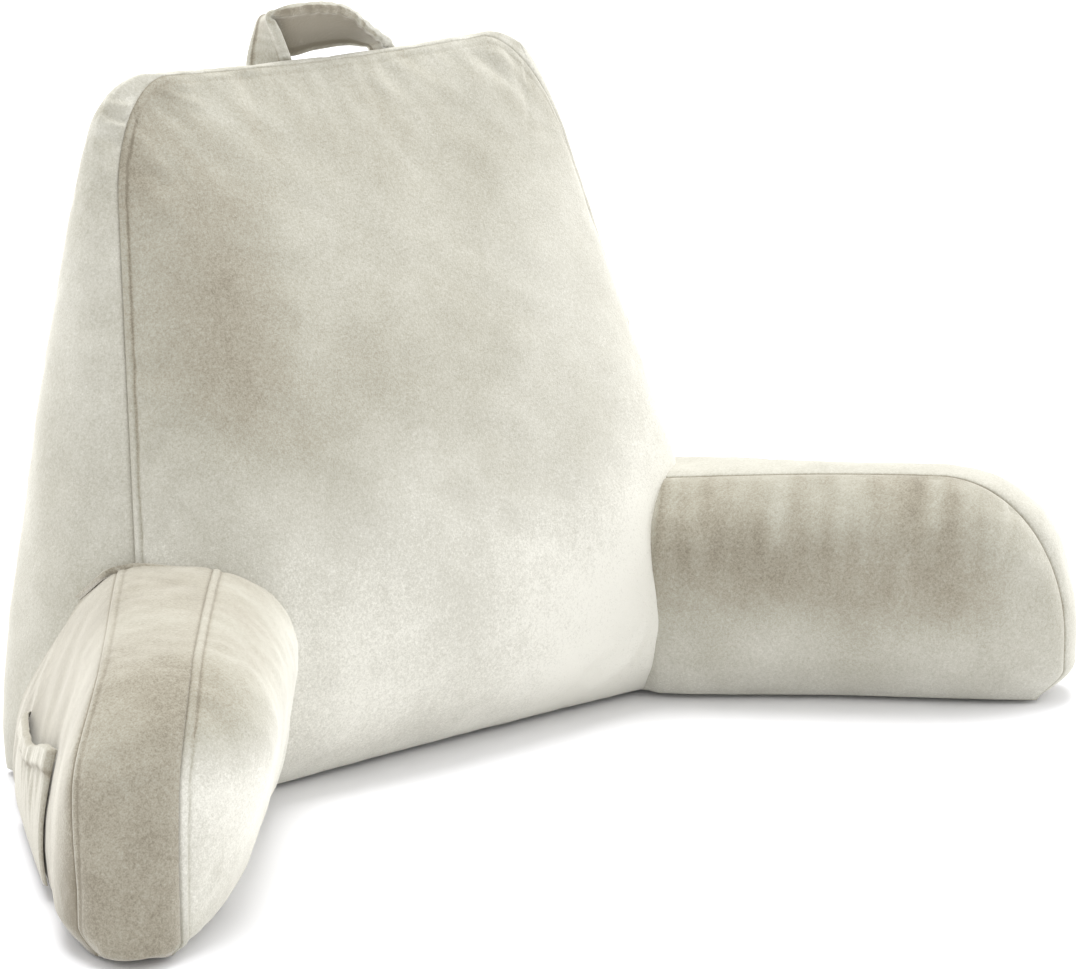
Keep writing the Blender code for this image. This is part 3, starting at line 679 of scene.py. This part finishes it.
# Sideways bow of the near arm's front seams, going out upwards and behind. At the very foot the
# inner one curls out twice as far, and the outer one comes back in
def frontBow(share, up, across, near):
    inner = arm["bow"][0] * (fade(up, 0.60, 1.15) + fade(up, 0.0, 0.07))
    outer = arm["bow"][1] * fade(up, 0.65, 1.15) * smooth(up, 0.0, 0.14)
    return near * blend(inner, outer, 0.5 * (across + 1.0)) * fade(share, *arm["bowAlong"])


# Box shares (along, across, up) to the left arm, as for the backrest; near is 1 for the near arm
def armPoints(shares, fill=1.0, near=0.0):
    along, across, up = shares[:, 0] * 2.0, 2.0 * shares[:, 1] - 1.0, shares[:, 2]
    share, height, p, q = armOutline(along, up)
    innerFoot, innerTop, outerFoot, outerTop = armSeams(share)
    inner = blend(innerFoot, innerTop, height[:, None])
    outer = blend(outerFoot, outerTop, height[:, None])
    wrapped = along > 1.0 + hair        # behind the root
    outer[wrapped] = wrapPoints(along[wrapped] - 1.0, height[wrapped], near)
    points = blend(inner, outer, 0.5 * (across + 1.0)[:, None])
    slide(points, frontBow(share, height, across, near), armOutward)

    onInner, onOuter = across < hair - 1.0, across > 1.0 - hair
    onTop, onFront = (up > 1.0 - hair) & (along > hair), along < hair
    slide(points, -innerBelly(share, height) * blend(arm["farBelly"], 1.0, near) * onInner * fill, armOutward)
    slide(points, outerBelly(share, height) * (onOuter & ~wrapped) * fill, armOutward)
    points[:, 2] += near * comeIn(along, *arm["rootLift"]) * height * ~(wrapped & onOuter)

    # The band's crown grows from its top to its front end, which is rounded in at the floor
    farRoll, nearRoll = arm["footRoll"]
    roll = blend(goOut(up, *farRoll), goOut(up, *nearRoll), near) * onFront
    crown = blend(arm["crownTop"], blend(*arm["crownFront"], near), smooth(p, 0.0, 1.0)) + roll
    bulge = crown * swell(across, 0.6) * fill
    points[:, 2] += onTop * bulge * np.where(p > 0.0, q, 1.0)
    slide(points, onTop * bulge * p, armForward)
    front = onFront * bulge * quarterRound(up, blend(*arm["frontFoot"], near))
    slide(points, front * np.where(q > 0.0, p, 1.0), armForward)
    points[:, 2] += front * q
    slide(points, (near - 1.0) * goOut(up, *arm["footTuck"]) * fade(share, *arm["tuckAlong"]), armForward)

    # The base is flat and rises gently to the foot seams
    width = np.linalg.norm(outerFoot - innerFoot, axis=1)
    inward = np.minimum(0.5 * (1.0 - np.abs(across)) * width, along * arm["length"])
    flat = (up < hair) * smooth(inward, 0.0, arm["lipReach"])
    points[:, 2] += goOut(up, *arm["lip"]) * fade(along, *arm["lipBehind"]) * (1.0 - flat)
    points[:, 1] -= backrest["originDepth"]
    return points


# Stations along, across and up, spaced on the panels' sections; even ones behind the root
def armCuts(steps):
    sections = (lambda s: np.column_stack([arm["length"] * s, innerBelly(*armOutline(s, 0.5)[:2])]),
                lambda s: np.column_stack([0.065 * s, 0.014 * swell(2.0 * s - 1.0, 0.6)]),
                lambda s: np.column_stack([0.17 * s, innerBelly(1.0, s), 0.025 * swell(2.0 * s - 1.0, 0.5)]))
    along, across, up = (stationsOn(section, *steps) for section in sections)
    behind = np.linspace(1.0, 2.0, int(arm["wrapLength"] / steps[1]) + 2)[1:]
    return np.append(along, behind) / 2.0, across, up


# Painted shade and light on each panel, its own shade and the sum of its rows, by the height: the
# band is darker towards its foot, and the outer panel is darker than the inner one
def nearArmPaintedShade(points, distance, across):
    look, z = nearArm["pile"], points[:, 2]
    band = look["band"] + comeIn(z, *look["bandFoot"]) + comeIn(z, *look["bandTop"])
    outer = look["outer"] + comeIn(z, *look["outerFoot"])
    inner = look["inner"] + goOut(z, *look["innerFoot"]) + comeIn(z, *look["innerTop"])
    return np.where(np.abs(across) < 1.0 - hair, band, np.where(across < 0.0, inner, outer))


# The same, with a painted shade on the inner panel: a dark field of streaks, darkest above its middle
def farArmPaintedShade(points, distance, across):
    look, z = farArm["pile"], points[:, 2]
    paintedShadeField = smooth(z, *look["darkFoot"]) * (1.0 + comeIn(z, *look["darkTop"]))
    paintedShadeField += comeIn(z, *look["streaks"]) * streaks(distance, z, 0.2, *look["streakPlace"])
    paintedShadeField *= look["paintedShadeField"] * (1.0 + comeIn(distance, *look["darkFront"]))
    return np.where(across < hair - 1.0, look["inner"] + goOut(z, *look["innerFoot"]) + paintedShadeField, look["others"])


# What differs between the arms. The shell's front is the inner panel, its back the outer one, and
# low the band's front end. Folds on the panels go by the distance from the root and the height,
# and folds on the band's front end by the distance across and the height
nearArm = {
    "piece": "armLeftPlush", "near": 1.0, "seed": 51, "seamLine": 0.5, "napAndPaintedShade": nearArmPaintedShade,
    # painted shade and light: the band and the outer panel dark, the inner panel light, darker at its foot
    # and top
    "pile": {
        "band": 0.19, "bandFoot": (0.08, 0.03, 0.11), "bandTop": (-0.04, 0.12, 0.17),
        "outer": 0.03, "outerFoot": (0.10, 0.0, 0.10),
        "inner": 1.20, "innerFoot": (-0.40, 0.0, 0.08), "innerTop": (-0.80, 0.10, 0.165),
    },
    "seams": {
        "front": {"firstLow": (1.0, 0.0005, 0.018, 0.016), "secondHigh": (1.0, 0.0007, 0.018, 0.022),
                  "secondLow": (0.0, 0.0003, 0.022, 0.015)},
        "back": {"firstLow": (0.0, 0.0003, 0.018, 0.014), "secondHigh": (0.0, 0.0003, 0.018, 0.016),
                 "secondLow": (0.0, 0.0003, 0.022, 0.015)},
        "low": {"firstLow": (0.0, 0.0003, 0.020, 0.012), "firstHigh": (0.5, 0.0003, 0.020, 0.012),
                "secondLow": (0.0, 0.0006, 0.018, 0.015)},
        "top": {"secondLow": (0.0, 0.0003, 0.020, 0.012), "secondHigh": (0.5, 0.0003, 0.020, 0.012)},
        "base": {"firstLow": plainEdge, "secondLow": plainEdge, "secondHigh": plainEdge},
    },
    "innerFolds": (
        (0.306, 0.030, 0.284, 0.052, 0.0035, 0.0012, 0.002),
        (0.304, 0.045, 0.286, 0.062, 0.0030, -0.0010, 0.0),
        (0.308, 0.085, 0.288, 0.092, 0.0030, 0.0009, 0.0),
        (0.300, 0.115, 0.280, 0.118, 0.0030, 0.0008, 0.001),
        (0.309, 0.014, 0.270, 0.030, 0.0050, 0.0012, 0.003),
    ),
    "outerFolds": (
        (0.020, 0.165, 0.130, 0.060, 0.012, 0.0008, 0.010),
        (0.060, 0.165, 0.190, 0.075, 0.012, 0.0006, 0.012),
        (0.110, 0.168, 0.240, 0.090, 0.010, 0.0005, 0.012),
        (-0.01, 0.140, 0.060, 0.040, 0.010, 0.0008, 0.008),
    ),
    "bandFolds": (
        (0.006, 0.006, 0.022, 0.022, 0.0035, 0.0015, 0.0),
        (0.054, 0.006, 0.040, 0.024, 0.0035, 0.0015, 0.0),
    ),
}
farArm = dict(
    nearArm, piece="armRightPlush", near=0.0, seed=71, seamLine=0.9, napAndPaintedShade=farArmPaintedShade,
    # painted shade on the inner panel under its top seam, and painted light at its foot
    pile={
        "others": 0.80, "inner": 0.76, "innerFoot": (0.25, 0.0, 0.04),
        "paintedShadeField": -0.45, "darkFoot": (0.035, 0.100), "darkTop": (-0.15, 0.125, 0.160),
        "darkFront": (-0.6, 0.21, 0.29),
        "streaks": (0.16, 0.09, 0.15), "streakPlace": (0.020, 77),      # wavelength and seed
    },
    seams=dict(nearArm["seams"], front={
        "firstLow": (0.0, 0.0006, 0.016, 0.018), "secondHigh": (0.0, 0.0013, 0.020, 0.032),
        "secondLow": (0.0, 0.0005, 0.022, 0.015)}),
    innerFolds=(
        (0.306, 0.014, 0.268, 0.030, 0.0035, 0.0012, 0.002),
        (0.308, 0.022, 0.275, 0.044, 0.0030, -0.0010, 0.0),
        (0.306, 0.060, 0.285, 0.066, 0.0040, 0.0010, 0.002),
        (0.012, 0.150, 0.016, 0.085, 0.0040, -0.0016, 0.002),
        (0.024, 0.155, 0.030, 0.100, 0.0050, 0.0012, 0.002),
        (0.200, 0.168, 0.196, 0.140, 0.0035, -0.0012, 0.0),
        (0.214, 0.168, 0.208, 0.136, 0.0035, 0.0012, 0.0),
        (0.232, 0.164, 0.222, 0.138, 0.0040, -0.0010, 0.002),
    ))
armMoves = {}    # the cloth run's moves on each arm's outer panel, for the pocket that lies on it


# The left arm's shape, its cloth run, then seams and folds raised along the normals. The far arm
# is mirrored at the end
def makeArm(look):
    near, seed, piece = look["near"], look["seed"], look["piece"]
    cuts = armCuts(arm["fineSteps"])
    shares, quads, sides = boxShell(*cuts)
    points = armPoints(shares, 1.0, near)
    coarseCuts = armCuts(arm["coarseSteps"])
    coarse, coarseQuads, coarseSides = boxShell(*coarseCuts)
    held = np.maximum(heldPoints(coarse), smooth(coarse[:, 0], 0.47, 0.53))
    slack, full = armPoints(coarse, arm["slack"], near), armPoints(coarse, 1.0, near)
    onOuter = coarse[:, 1] > 1.0 - hair
    calm = np.where(atEnds(coarse[:, 1]), np.where(onOuter, arm["outerRun"], 1.0), arm["bandRun"])
    move = clothMoves(piece, slack, full, coarseQuads, held, arm) * calm[:, None]
    armMoves[piece] = (coarseCuts, move[coarseSides["back"]])
    points = points + carryField(move, coarseSides, coarseCuts, sides, cuts, len(points))

    along, across, up = shares[:, 0] * 2.0, 2.0 * shares[:, 1] - 1.0, shares[:, 2]
    onInner, onOuter, onFront = across < hair - 1.0, across > 1.0 - hair, along < hair
    quads = facingOut(points, quads)
    height, shade, gap = dressSeams(points, sides, look["seams"], seed, look["seamLine"])
    for number, (size, wavelength) in enumerate(arm["lumps"]):
        lumps = size * ripples(points, wavelength, seed + number)
        height += smooth(gap, 0.0, 0.02) * lumps * np.where(onOuter, arm["outerLumps"], 1.0)
    distance, z = (1.0 - along) * arm["length"], points[:, 2]
    inside = smooth(gap, 0.0, 0.004)
    height += folds(distance, z, look["innerFolds"]) * onInner * inside
    height += folds(distance, z, look["outerFolds"]) * onOuter * inside
    height += folds(0.5 * (across + 1.0) * arm["bandFront"], z, look["bandFolds"]) * onFront * inside
    points = points + pointNormals(points, quads) * (height * (up > hair))[:, None]
    points[:, 2] = np.maximum(points[:, 2], 0.0)
    # painted shade and light of the arm's panels, with soft drifts of the pile's own tone
    drift = arm["drift"] * ripples(points, arm["driftLength"], seed + 5)
    napAndPaintedShade = look["napAndPaintedShade"](points, distance, across) + drift
    if not near:
        points = points * np.array([-1.0, 1.0, 1.0])
    return makePiece(piece, points, quads, {"seam": shade, "napAndPaintedShade": napAndPaintedShade})


handle = {
    # x, y and z of the strap's front edge, then of its rear edge, from its left end to its right end
    "rows": (
        (-0.025, 0.150, 0.499, -0.046, 0.178, 0.475),
        (-0.030, 0.151, 0.513, -0.036, 0.193, 0.499),
        (-0.038, 0.151, 0.528, -0.029, 0.193, 0.521),
        (-0.045, 0.152, 0.543, -0.021, 0.190, 0.534),
        (-0.029, 0.151, 0.548, -0.010, 0.182, 0.508),
        (0.002, 0.150, 0.548, 0.016, 0.180, 0.509),
        (0.028, 0.150, 0.542, 0.045, 0.181, 0.510),
        (0.049, 0.150, 0.526, 0.066, 0.184, 0.508),
        (0.067, 0.150, 0.512, 0.080, 0.188, 0.503),
        (0.074, 0.150, 0.499, 0.087, 0.178, 0.475),
    ),
    "width": 0.045, "length": 0.235, "thickness": 0.0050, "rounding": 0.003,
    "hemWidth": 0.008, "hemExtra": 0.0025, "gather": 0.0006, "gatherLength": 0.010,
    "steps": 150, "widthSteps": (0.0007, 0.0020, 0.012),
    # pile's tone all over, painted light on the rear face, painted shadow under the strap's bridge, and
    # painted light on the hems at both ends
    "napAndPaintedShade": 0.34, "paintedRearLight": 0.10, "paintedUnderShadow": -0.60, "paintedHemLight": (0.25, 0.60), "gatherNap": 0.08,
}


# Catmull-Rom curve through the rows' first or last three columns, at shares of its length
def strapTrack(columns, samples):
    rows = np.array(handle["rows"])[:, columns]
    rows = np.vstack([2.0 * rows[0] - rows[1], rows, 2.0 * rows[-1] - rows[-2]])
    position = np.clip(samples, 0.0, 1.0) * (len(rows) - 3)
    first = np.minimum(position.astype(int), len(rows) - 4)
    weights = cubicWeights((position - first)[:, None])
    return sum(weight * rows[first + step] for step, weight in enumerate(weights))


# Ruled between its two edges, thickest along its hems, with the gathers' ridges on the front hem
def makeHandle():
    look = handle
    across = stationsOn(straight(look["width"]), *look["widthSteps"])
    shares, quads, _ = boxShell(np.linspace(0.0, 1.0, look["steps"]), across, np.linspace(0.0, 1.0, 4))
    along, across, through = shares.T
    edges = (slice(0, 3), slice(3, 6))
    front, rear = (strapTrack(edge, along) for edge in edges)
    ahead, behind = (sum(strapTrack(edge, along + step) for edge in edges) for step in (0.01, -0.01))
    normal = np.cross(rear - front, ahead - behind)
    normal /= np.linalg.norm(normal, axis=1)[:, None]
    width = np.linalg.norm(rear - front, axis=1)
    edge = np.minimum(across, 1.0 - across) * width
    hem = look["hemExtra"] * fade(edge, look["hemWidth"] - 0.001, look["hemWidth"] + 0.001)
    gathers = streaks(along * look["length"], across * width, 0.3, look["gatherLength"], 33)
    ridge = look["gather"] * gathers * fade(edge, 0.006, 0.012) * smooth(along, 0.35, 0.65) * (across < 0.5)
    rounding = np.maximum(quarterRound(edge, look["rounding"]), 0.5)
    offset = (through - 0.5) * ((look["thickness"] + hem) * rounding + 2.0 * ridge)
    points = front + (rear - front) * across[:, None] + normal * offset[:, None]
    points[:, 1] -= backrest["originDepth"]
    onRear = through > 0.7
    # painted shadow under the strap's bridge, and painted light on the rear face and the hems
    under = onRear * smooth(along, 0.37, 0.42) * fade(along, 0.80, 0.90)
    hemmed = fade(edge, look["hemWidth"] - 0.003, look["hemWidth"])
    napAndPaintedShade = look["napAndPaintedShade"] + look["paintedRearLight"] * onRear + look["paintedUnderShadow"] * under + look["gatherNap"] * gathers
    napAndPaintedShade += blend(*look["paintedHemLight"], smooth(along, 0.55, 0.75)) * hemmed + 0.06 * ripples(points, 0.05, 31)
    return makePiece("handleStrap", points, quads, {"seam": bell(edge, look["hemWidth"], 0.0012), "napAndPaintedShade": napAndPaintedShade})


pocket = {
    "front": 0.200, "back": 0.035, "foot": 0.010, "mouth": 0.107,   # distances from the root, and heights
    "cloth": 0.0026, "hemExtra": 0.0022,
    "hemStart": (0.815, 0.835), "hemEnd": (0.98, 1.0), "hemSeam": (0.825, 0.02),    # shares of the height
    "sag": 0.024, "puff": 0.006, "gather": 0.0006, "gatherLength": 0.014, "standoff": 0.0014,
    "steps": 170, "height": 0.09, "heightSteps": (0.0008, 0.0018, 0.012),
    "napAndPaintedShade": 0.36, "gatherNap": 0.04,
}


# Bilinear value of a grid at fractional rows and columns
def gridValue(grid, row, column):
    i = np.minimum(row.astype(int), len(grid) - 2)
    j = np.minimum(column.astype(int), len(grid[0]) - 2)
    f, g = (row - i)[:, None], (column - j)[:, None]
    return blend(blend(grid[i, j], grid[i + 1, j], f), blend(grid[i, j + 1], grid[i + 1, j + 1], f), g)


# A sheet on the arm's outer panel. It stands off by a swell along it times a power of the height,
# so that its mouth is open, and its rim sags as an S-curve towards the root
def makePocket():
    look = pocket
    upCuts = stationsOn(straight(look["height"]), *look["heightSteps"])
    shares, quads, _ = boxShell(np.linspace(0.0, 1.0, look["steps"]), np.linspace(0.0, 1.0, 4), upCuts)
    along, through, up = shares.T
    distance = blend(look["front"], look["back"], along)
    rim = look["mouth"] - look["sag"] * smooth(along, 0.0, 0.6)
    height = blend(look["foot"], rim, up)
    share = 1.0 - distance / arm["length"]
    rise = height / armSeams(share)[3][:, 2]
    side = swell(2.0 * along - 1.0, 0.45)
    mouth = side * up ** 1.6 * (1.0 - 0.18 * smooth(up, 0.75, 1.0))
    gather = streaks(distance, height, 0.25, look["gatherLength"], 43) * smooth(up, 0.15, 0.85)
    gather *= 1.0 - 0.6 * smooth(along, 0.25, 0.6)
    hem = look["hemExtra"] * smooth(up, *look["hemStart"]) * fade(up, *look["hemEnd"])
    offset = look["standoff"] + look["puff"] * mouth + look["gather"] * (1.0 + gather) * side
    offset += through * (look["cloth"] + hem) * (0.5 + 0.5 * smooth(along, 0.0, 0.02))
    points = outerLine(share, rise)
    slide(points, outerBelly(share, rise) + frontBow(share, rise, 1.0, 1.0) + offset, armOutward)
    points[:, 1] -= backrest["originDepth"]
    if nearArm["piece"] in armMoves:
        (armAlong, _, armUp), move = armMoves[nearArm["piece"]]
        row = np.interp(share / 2.0, armAlong, np.arange(len(armAlong)))
        points += gridValue(move, row, np.interp(rise, armUp, np.arange(len(armUp))))
    napAndPaintedShade = look["napAndPaintedShade"] + look["gatherNap"] * gather
    return makePiece("pocketCloth", points, quads, {"seam": bell(up, *look["hemSeam"]), "napAndPaintedShade": napAndPaintedShade})


plush = {
    # the colour along the shade, from dark to light; the shade carries painted shade and light with the
    # pile's own tone
    "colours": (
        (0.0, (0.200, 0.176, 0.131, 1.0)),
        (0.1875, (0.291, 0.266, 0.208, 1.0)),
        (0.4125, (0.370, 0.356, 0.295, 1.0)),
        (0.75, (0.509, 0.498, 0.440, 1.0)),
        (1.0, (0.680, 0.668, 0.605, 1.0)),
    ),
    "shadeScale": 0.75,                                 # the shade's share of the colours' range
    "roughness": 0.92, "specular": 0.15,
    "sheen": 0.62, "sheenRoughness": 0.50, "sheenTint": (1.0, 0.98, 0.90, 1.0),
    "drift": 0.30, "driftScale": 9.0,                   # wide soft changes of the pile's lie
    "patches": 0.35, "patchScale": 38.0,                # small crushed patches
    "tipScale": 900.0, "tuftScale": 420.0, "tuftShare": 0.8, "speck": 0.7,
    "seamDark": 0.45, "bump": 0.35, "bumpHeight": 0.0008,
    "turn": 0.37,                                       # each piece's pattern starts this much further on
}


# An empty node group with its named inputs and outputs
def newGroup(name, inputs, outputs):
    group = bpy.data.node_groups.new(name, "ShaderNodeTree")
    for label, kind, value in inputs:
        socket = group.interface.new_socket(name=label, in_out="INPUT", socket_type=kind)
        if value is not None:
            socket.default_value = value
    for label, kind in outputs:
        group.interface.new_socket(name=label, in_out="OUTPUT", socket_type=kind)
    start, end = group.nodes.new("NodeGroupInput"), group.nodes.new("NodeGroupOutput")
    start.location, end.location = (-900, 0), (700, 0)
    return group, start, end


# One node at its place, with its settings
def addNode(tree, kind, place, **values):
    node = tree.nodes.new(kind)
    node.location = place
    for key, value in values.items():
        setattr(node, key, value)
    return node


# A noise texture on the given vector, its inputs set by name
def addNoise(tree, vector, place, **inputs):
    node = addNode(tree, "ShaderNodeTexNoise", place)
    for label, value in inputs.items():
        node.inputs[label].default_value = value
    tree.links.new(vector, node.inputs["Vector"])
    return node


# A Math node on two values, each a number or an output
def addMath(tree, operation, place, first, second, limit=False):
    node = addNode(tree, "ShaderNodeMath", place, operation=operation, use_clamp=limit)
    for socket, value in zip(node.inputs, (first, second)):
        if isinstance(value, (int, float)):
            socket.default_value = value
        else:
            tree.links.new(value, socket)
    return node.outputs[0]


# Which way the pile lies: wide soft drifts, plus crushed patches with crisp borders, each a noise
# less one half, times its input
def napGroup():
    inputs = [("Vector", "NodeSocketVector", None), ("Drift", "NodeSocketFloat", plush["drift"]),
              ("Patches", "NodeSocketFloat", plush["patches"])]
    group, start, end = newGroup("brushedNap", inputs, [("Shade", "NodeSocketFloat")])
    vector = start.outputs["Vector"]
    drift = addNoise(group, vector, (-600, 200), Scale=plush["driftScale"], Detail=3.0)
    patch = addNoise(group, vector, (-600, -100), Scale=plush["patchScale"], Detail=6.0, Roughness=0.62,
                     Distortion=0.9)
    parts = []
    for noise, label, height in ((drift, "Drift", 200), (patch, "Patches", -100)):
        centred = addMath(group, "SUBTRACT", (-450, height), noise.outputs["Fac"], 0.5)
        parts.append(addMath(group, "MULTIPLY", (-350, height), centred, start.outputs[label]))
    group.links.new(addMath(group, "ADD", (-100, 0), *parts), end.inputs["Shade"])
    return group


# Short dense pile: fine noise for the tips, and a share of a coarser noise for the tufts. The
# speck is the same height less its middle value
def pileGroup():
    inputs = [("Vector", "NodeSocketVector", None), ("Tip Size", "NodeSocketFloat", plush["tipScale"])]
    outputs = [("Height", "NodeSocketFloat"), ("Speck", "NodeSocketFloat")]
    group, start, end = newGroup("plushPile", inputs, outputs)
    vector = start.outputs["Vector"]
    tips = addNoise(group, vector, (-600, 200), Detail=2.0)
    group.links.new(start.outputs["Tip Size"], tips.inputs["Scale"])
    tufts = addNoise(group, vector, (-600, -100), Scale=plush["tuftScale"], Detail=3.0)
    share = addMath(group, "MULTIPLY", (-300, -100), tufts.outputs["Fac"], plush["tuftShare"])
    height = addMath(group, "ADD", (-100, 100), tips.outputs["Fac"], share)
    speck = addMath(group, "SUBTRACT", (-100, -100), height, 0.5 * (1.0 + plush["tuftShare"]))
    group.links.new(height, end.inputs["Height"])
    group.links.new(speck, end.inputs["Speck"])
    return group


napNodes, pileNodes = napGroup(), pileGroup()


# The plush: its shade is the pile's lie with the painted shade and light, plus drifts, patches and
# specks, less the seams' dark lines, and looks up the colour. The pile's height is a fine bump
def plushMaterial(name, turn):
    material = bpy.data.materials.new(name)
    material.use_nodes = True
    tree = material.node_tree
    shader = tree.nodes["Principled BSDF"]
    shader.inputs["Roughness"].default_value = plush["roughness"]
    shader.inputs["Specular IOR Level"].default_value = plush["specular"]
    shader.inputs["Sheen Weight"].default_value = plush["sheen"]
    shader.inputs["Sheen Roughness"].default_value = plush["sheenRoughness"]
    shader.inputs["Sheen Tint"].default_value = plush["sheenTint"]
    place = addNode(tree, "ShaderNodeTexCoord", (-1300, 0))
    mapping = addNode(tree, "ShaderNodeMapping", (-1120, 0))
    mapping.inputs["Location"].default_value = (turn, 0.0, 0.0)
    tree.links.new(place.outputs["Object"], mapping.inputs["Vector"])
    # drifts and crushed patches of the pile's own tone
    napAndPaintedShade = addNode(tree, "ShaderNodeGroup", (-900, 200), node_tree=napNodes)
    napAndPaintedShade.inputs["Drift"].default_value = plush["drift"]
    napAndPaintedShade.inputs["Patches"].default_value = plush["patches"]
    pile = addNode(tree, "ShaderNodeGroup", (-900, -150), node_tree=pileNodes)
    for node in (napAndPaintedShade, pile):
        tree.links.new(mapping.outputs["Vector"], node.inputs["Vector"])
    # the attribute carries painted shade and light together with the pile's own tone
    lieAndPaintedShade = addNode(tree, "ShaderNodeAttribute", (-900, 450), attribute_name="napAndPaintedShade")
    seam = addNode(tree, "ShaderNodeAttribute", (-900, 620), attribute_name="seam")
    speck = addMath(tree, "MULTIPLY", (-650, 0), pile.outputs["Speck"], plush["speck"])
    groove = addMath(tree, "MULTIPLY", (-650, 600), seam.outputs["Fac"], plush["seamDark"])
    shade = addMath(tree, "ADD", (-650, 350), lieAndPaintedShade.outputs["Fac"], napAndPaintedShade.outputs["Shade"])
    shade = addMath(tree, "ADD", (-480, 250), shade, speck)
    shade = addMath(tree, "SUBTRACT", (-400, 300), shade, groove)
    shade = addMath(tree, "MULTIPLY", (-280, 300), shade, plush["shadeScale"], limit=True)
    colour = addNode(tree, "ShaderNodeValToRGB", (-150, 250))
    stops = colour.color_ramp.elements
    for position, _ in plush["colours"][1:-1]:
        stops.new(position)
    for stop, (position, value) in zip(stops, plush["colours"]):
        stop.position, stop.color = position, value
    tree.links.new(shade, colour.inputs["Fac"])
    tree.links.new(colour.outputs["Color"], shader.inputs["Base Color"])
    bump = addNode(tree, "ShaderNodeBump", (-300, -200))
    bump.inputs["Strength"].default_value = plush["bump"]
    bump.inputs["Distance"].default_value = plush["bumpHeight"]
    tree.links.new(pile.outputs["Height"], bump.inputs["Height"])
    tree.links.new(bump.outputs["Normal"], shader.inputs["Normal"])
    return material


made = {"backrest": makeBackrest()}
print("backrest made")
made["arm_left"] = makeArm(nearArm)
made["arm_right"] = makeArm(farArm)
print("arms made")
made["handle"] = makeHandle()
made["pocket"] = makePocket()
print("handle and pocket made")

for number, (node, piece) in enumerate(made.items()):
    piece.data.materials.append(plushMaterial(node + "Plush", plush["turn"] * number))
    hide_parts(node)
    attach(piece, "root")
print("pieces dressed")


studio = {
    "camera": (-1.985, -2.431, 0.9825), "aim": (0.0885, -0.085, 0.1888), "lens": 141.70, "film": 36.0,
    "clip": (0.1, 60.0),
    # soft suns: where the light comes from, its strength and its spread in degrees
    "suns": (
        ((0.12, 0.22, 1.0), 2.6, 40.0),
        ((1.0, -0.25, 0.35), 0.90, 50.0),
        ((-0.9, 0.75, 0.45), 0.20, 50.0),
    ),
    "worldLight": 1.05, "backdrop": 1.05,       # what lights the scene, and what the camera sees of it
    "floorHalf": 40.0, "floorDrop": 0.0006, "floorColour": (0.90, 0.90, 0.92, 1.0), "floorRoughness": 0.9,
}


# The camera at its place, turned to look at its aim
def makeCamera():
    camera = bpy.data.cameras.new("camera")
    camera.lens, camera.sensor_width = studio["lens"], studio["film"]
    camera.clip_start, camera.clip_end = studio["clip"]
    holder = bpy.data.objects.new("camera", camera)
    view = Vector(studio["aim"]) - Vector(studio["camera"])
    holder.location = studio["camera"]
    holder.rotation_euler = view.to_track_quat("-Z", "Y").to_euler()
    scene.collection.objects.link(holder)
    scene.camera = holder


# Wide suns, each turned to shine from its own place towards the origin
def makeSuns():
    for number, (place, strength, spread) in enumerate(studio["suns"]):
        lamp = bpy.data.lights.new("softSun%d" % number, "SUN")
        lamp.energy, lamp.angle = strength, np.radians(spread)
        sun = bpy.data.objects.new(lamp.name, lamp)
        sun.location = place
        sun.rotation_euler = Vector(place).to_track_quat("Z", "Y").to_euler()
        scene.collection.objects.link(sun)


# One wide white quad, just under the pillow
def makeFloor():
    half = studio["floorHalf"]
    corners = [(-half, -half, 0.0), (half, -half, 0.0), (half, half, 0.0), (-half, half, 0.0)]
    mesh = bpy.data.meshes.new("floor")
    mesh.from_pydata(corners, [], [(0, 1, 2, 3)])
    paint = bpy.data.materials.new("floorPaint")
    paint.use_nodes = True
    surface = paint.node_tree.nodes["Principled BSDF"]
    surface.inputs["Base Color"].default_value = studio["floorColour"]
    surface.inputs["Roughness"].default_value = studio["floorRoughness"]
    mesh.materials.append(paint)
    floor = bpy.data.objects.new("floor", mesh)
    floor.location.z = -studio["floorDrop"]
    scene.collection.objects.link(floor)


# White world: one background lights the scene, and the other is what the camera sees
def makeWorld():
    world = bpy.data.worlds.new("studio")
    world.use_nodes = True
    tree = world.node_tree
    soft = tree.nodes["Background"]
    soft.inputs["Color"].default_value = (1.0, 1.0, 1.0, 1.0)
    soft.inputs["Strength"].default_value = studio["worldLight"]
    seen = addNode(tree, "ShaderNodeBackground", (0, -200))
    seen.inputs["Strength"].default_value = studio["backdrop"]
    path = addNode(tree, "ShaderNodeLightPath", (0, 300))
    choice = addNode(tree, "ShaderNodeMixShader", (250, 0))
    tree.links.new(path.outputs["Is Camera Ray"], choice.inputs[0])
    tree.links.new(soft.outputs[0], choice.inputs[1])
    tree.links.new(seen.outputs[0], choice.inputs[2])
    tree.links.new(choice.outputs[0], tree.nodes["World Output"].inputs["Surface"])
    scene.world = world
    scene.view_settings.view_transform = "Standard"


makeCamera()
makeSuns()
makeFloor()
makeWorld()
print("studio made")
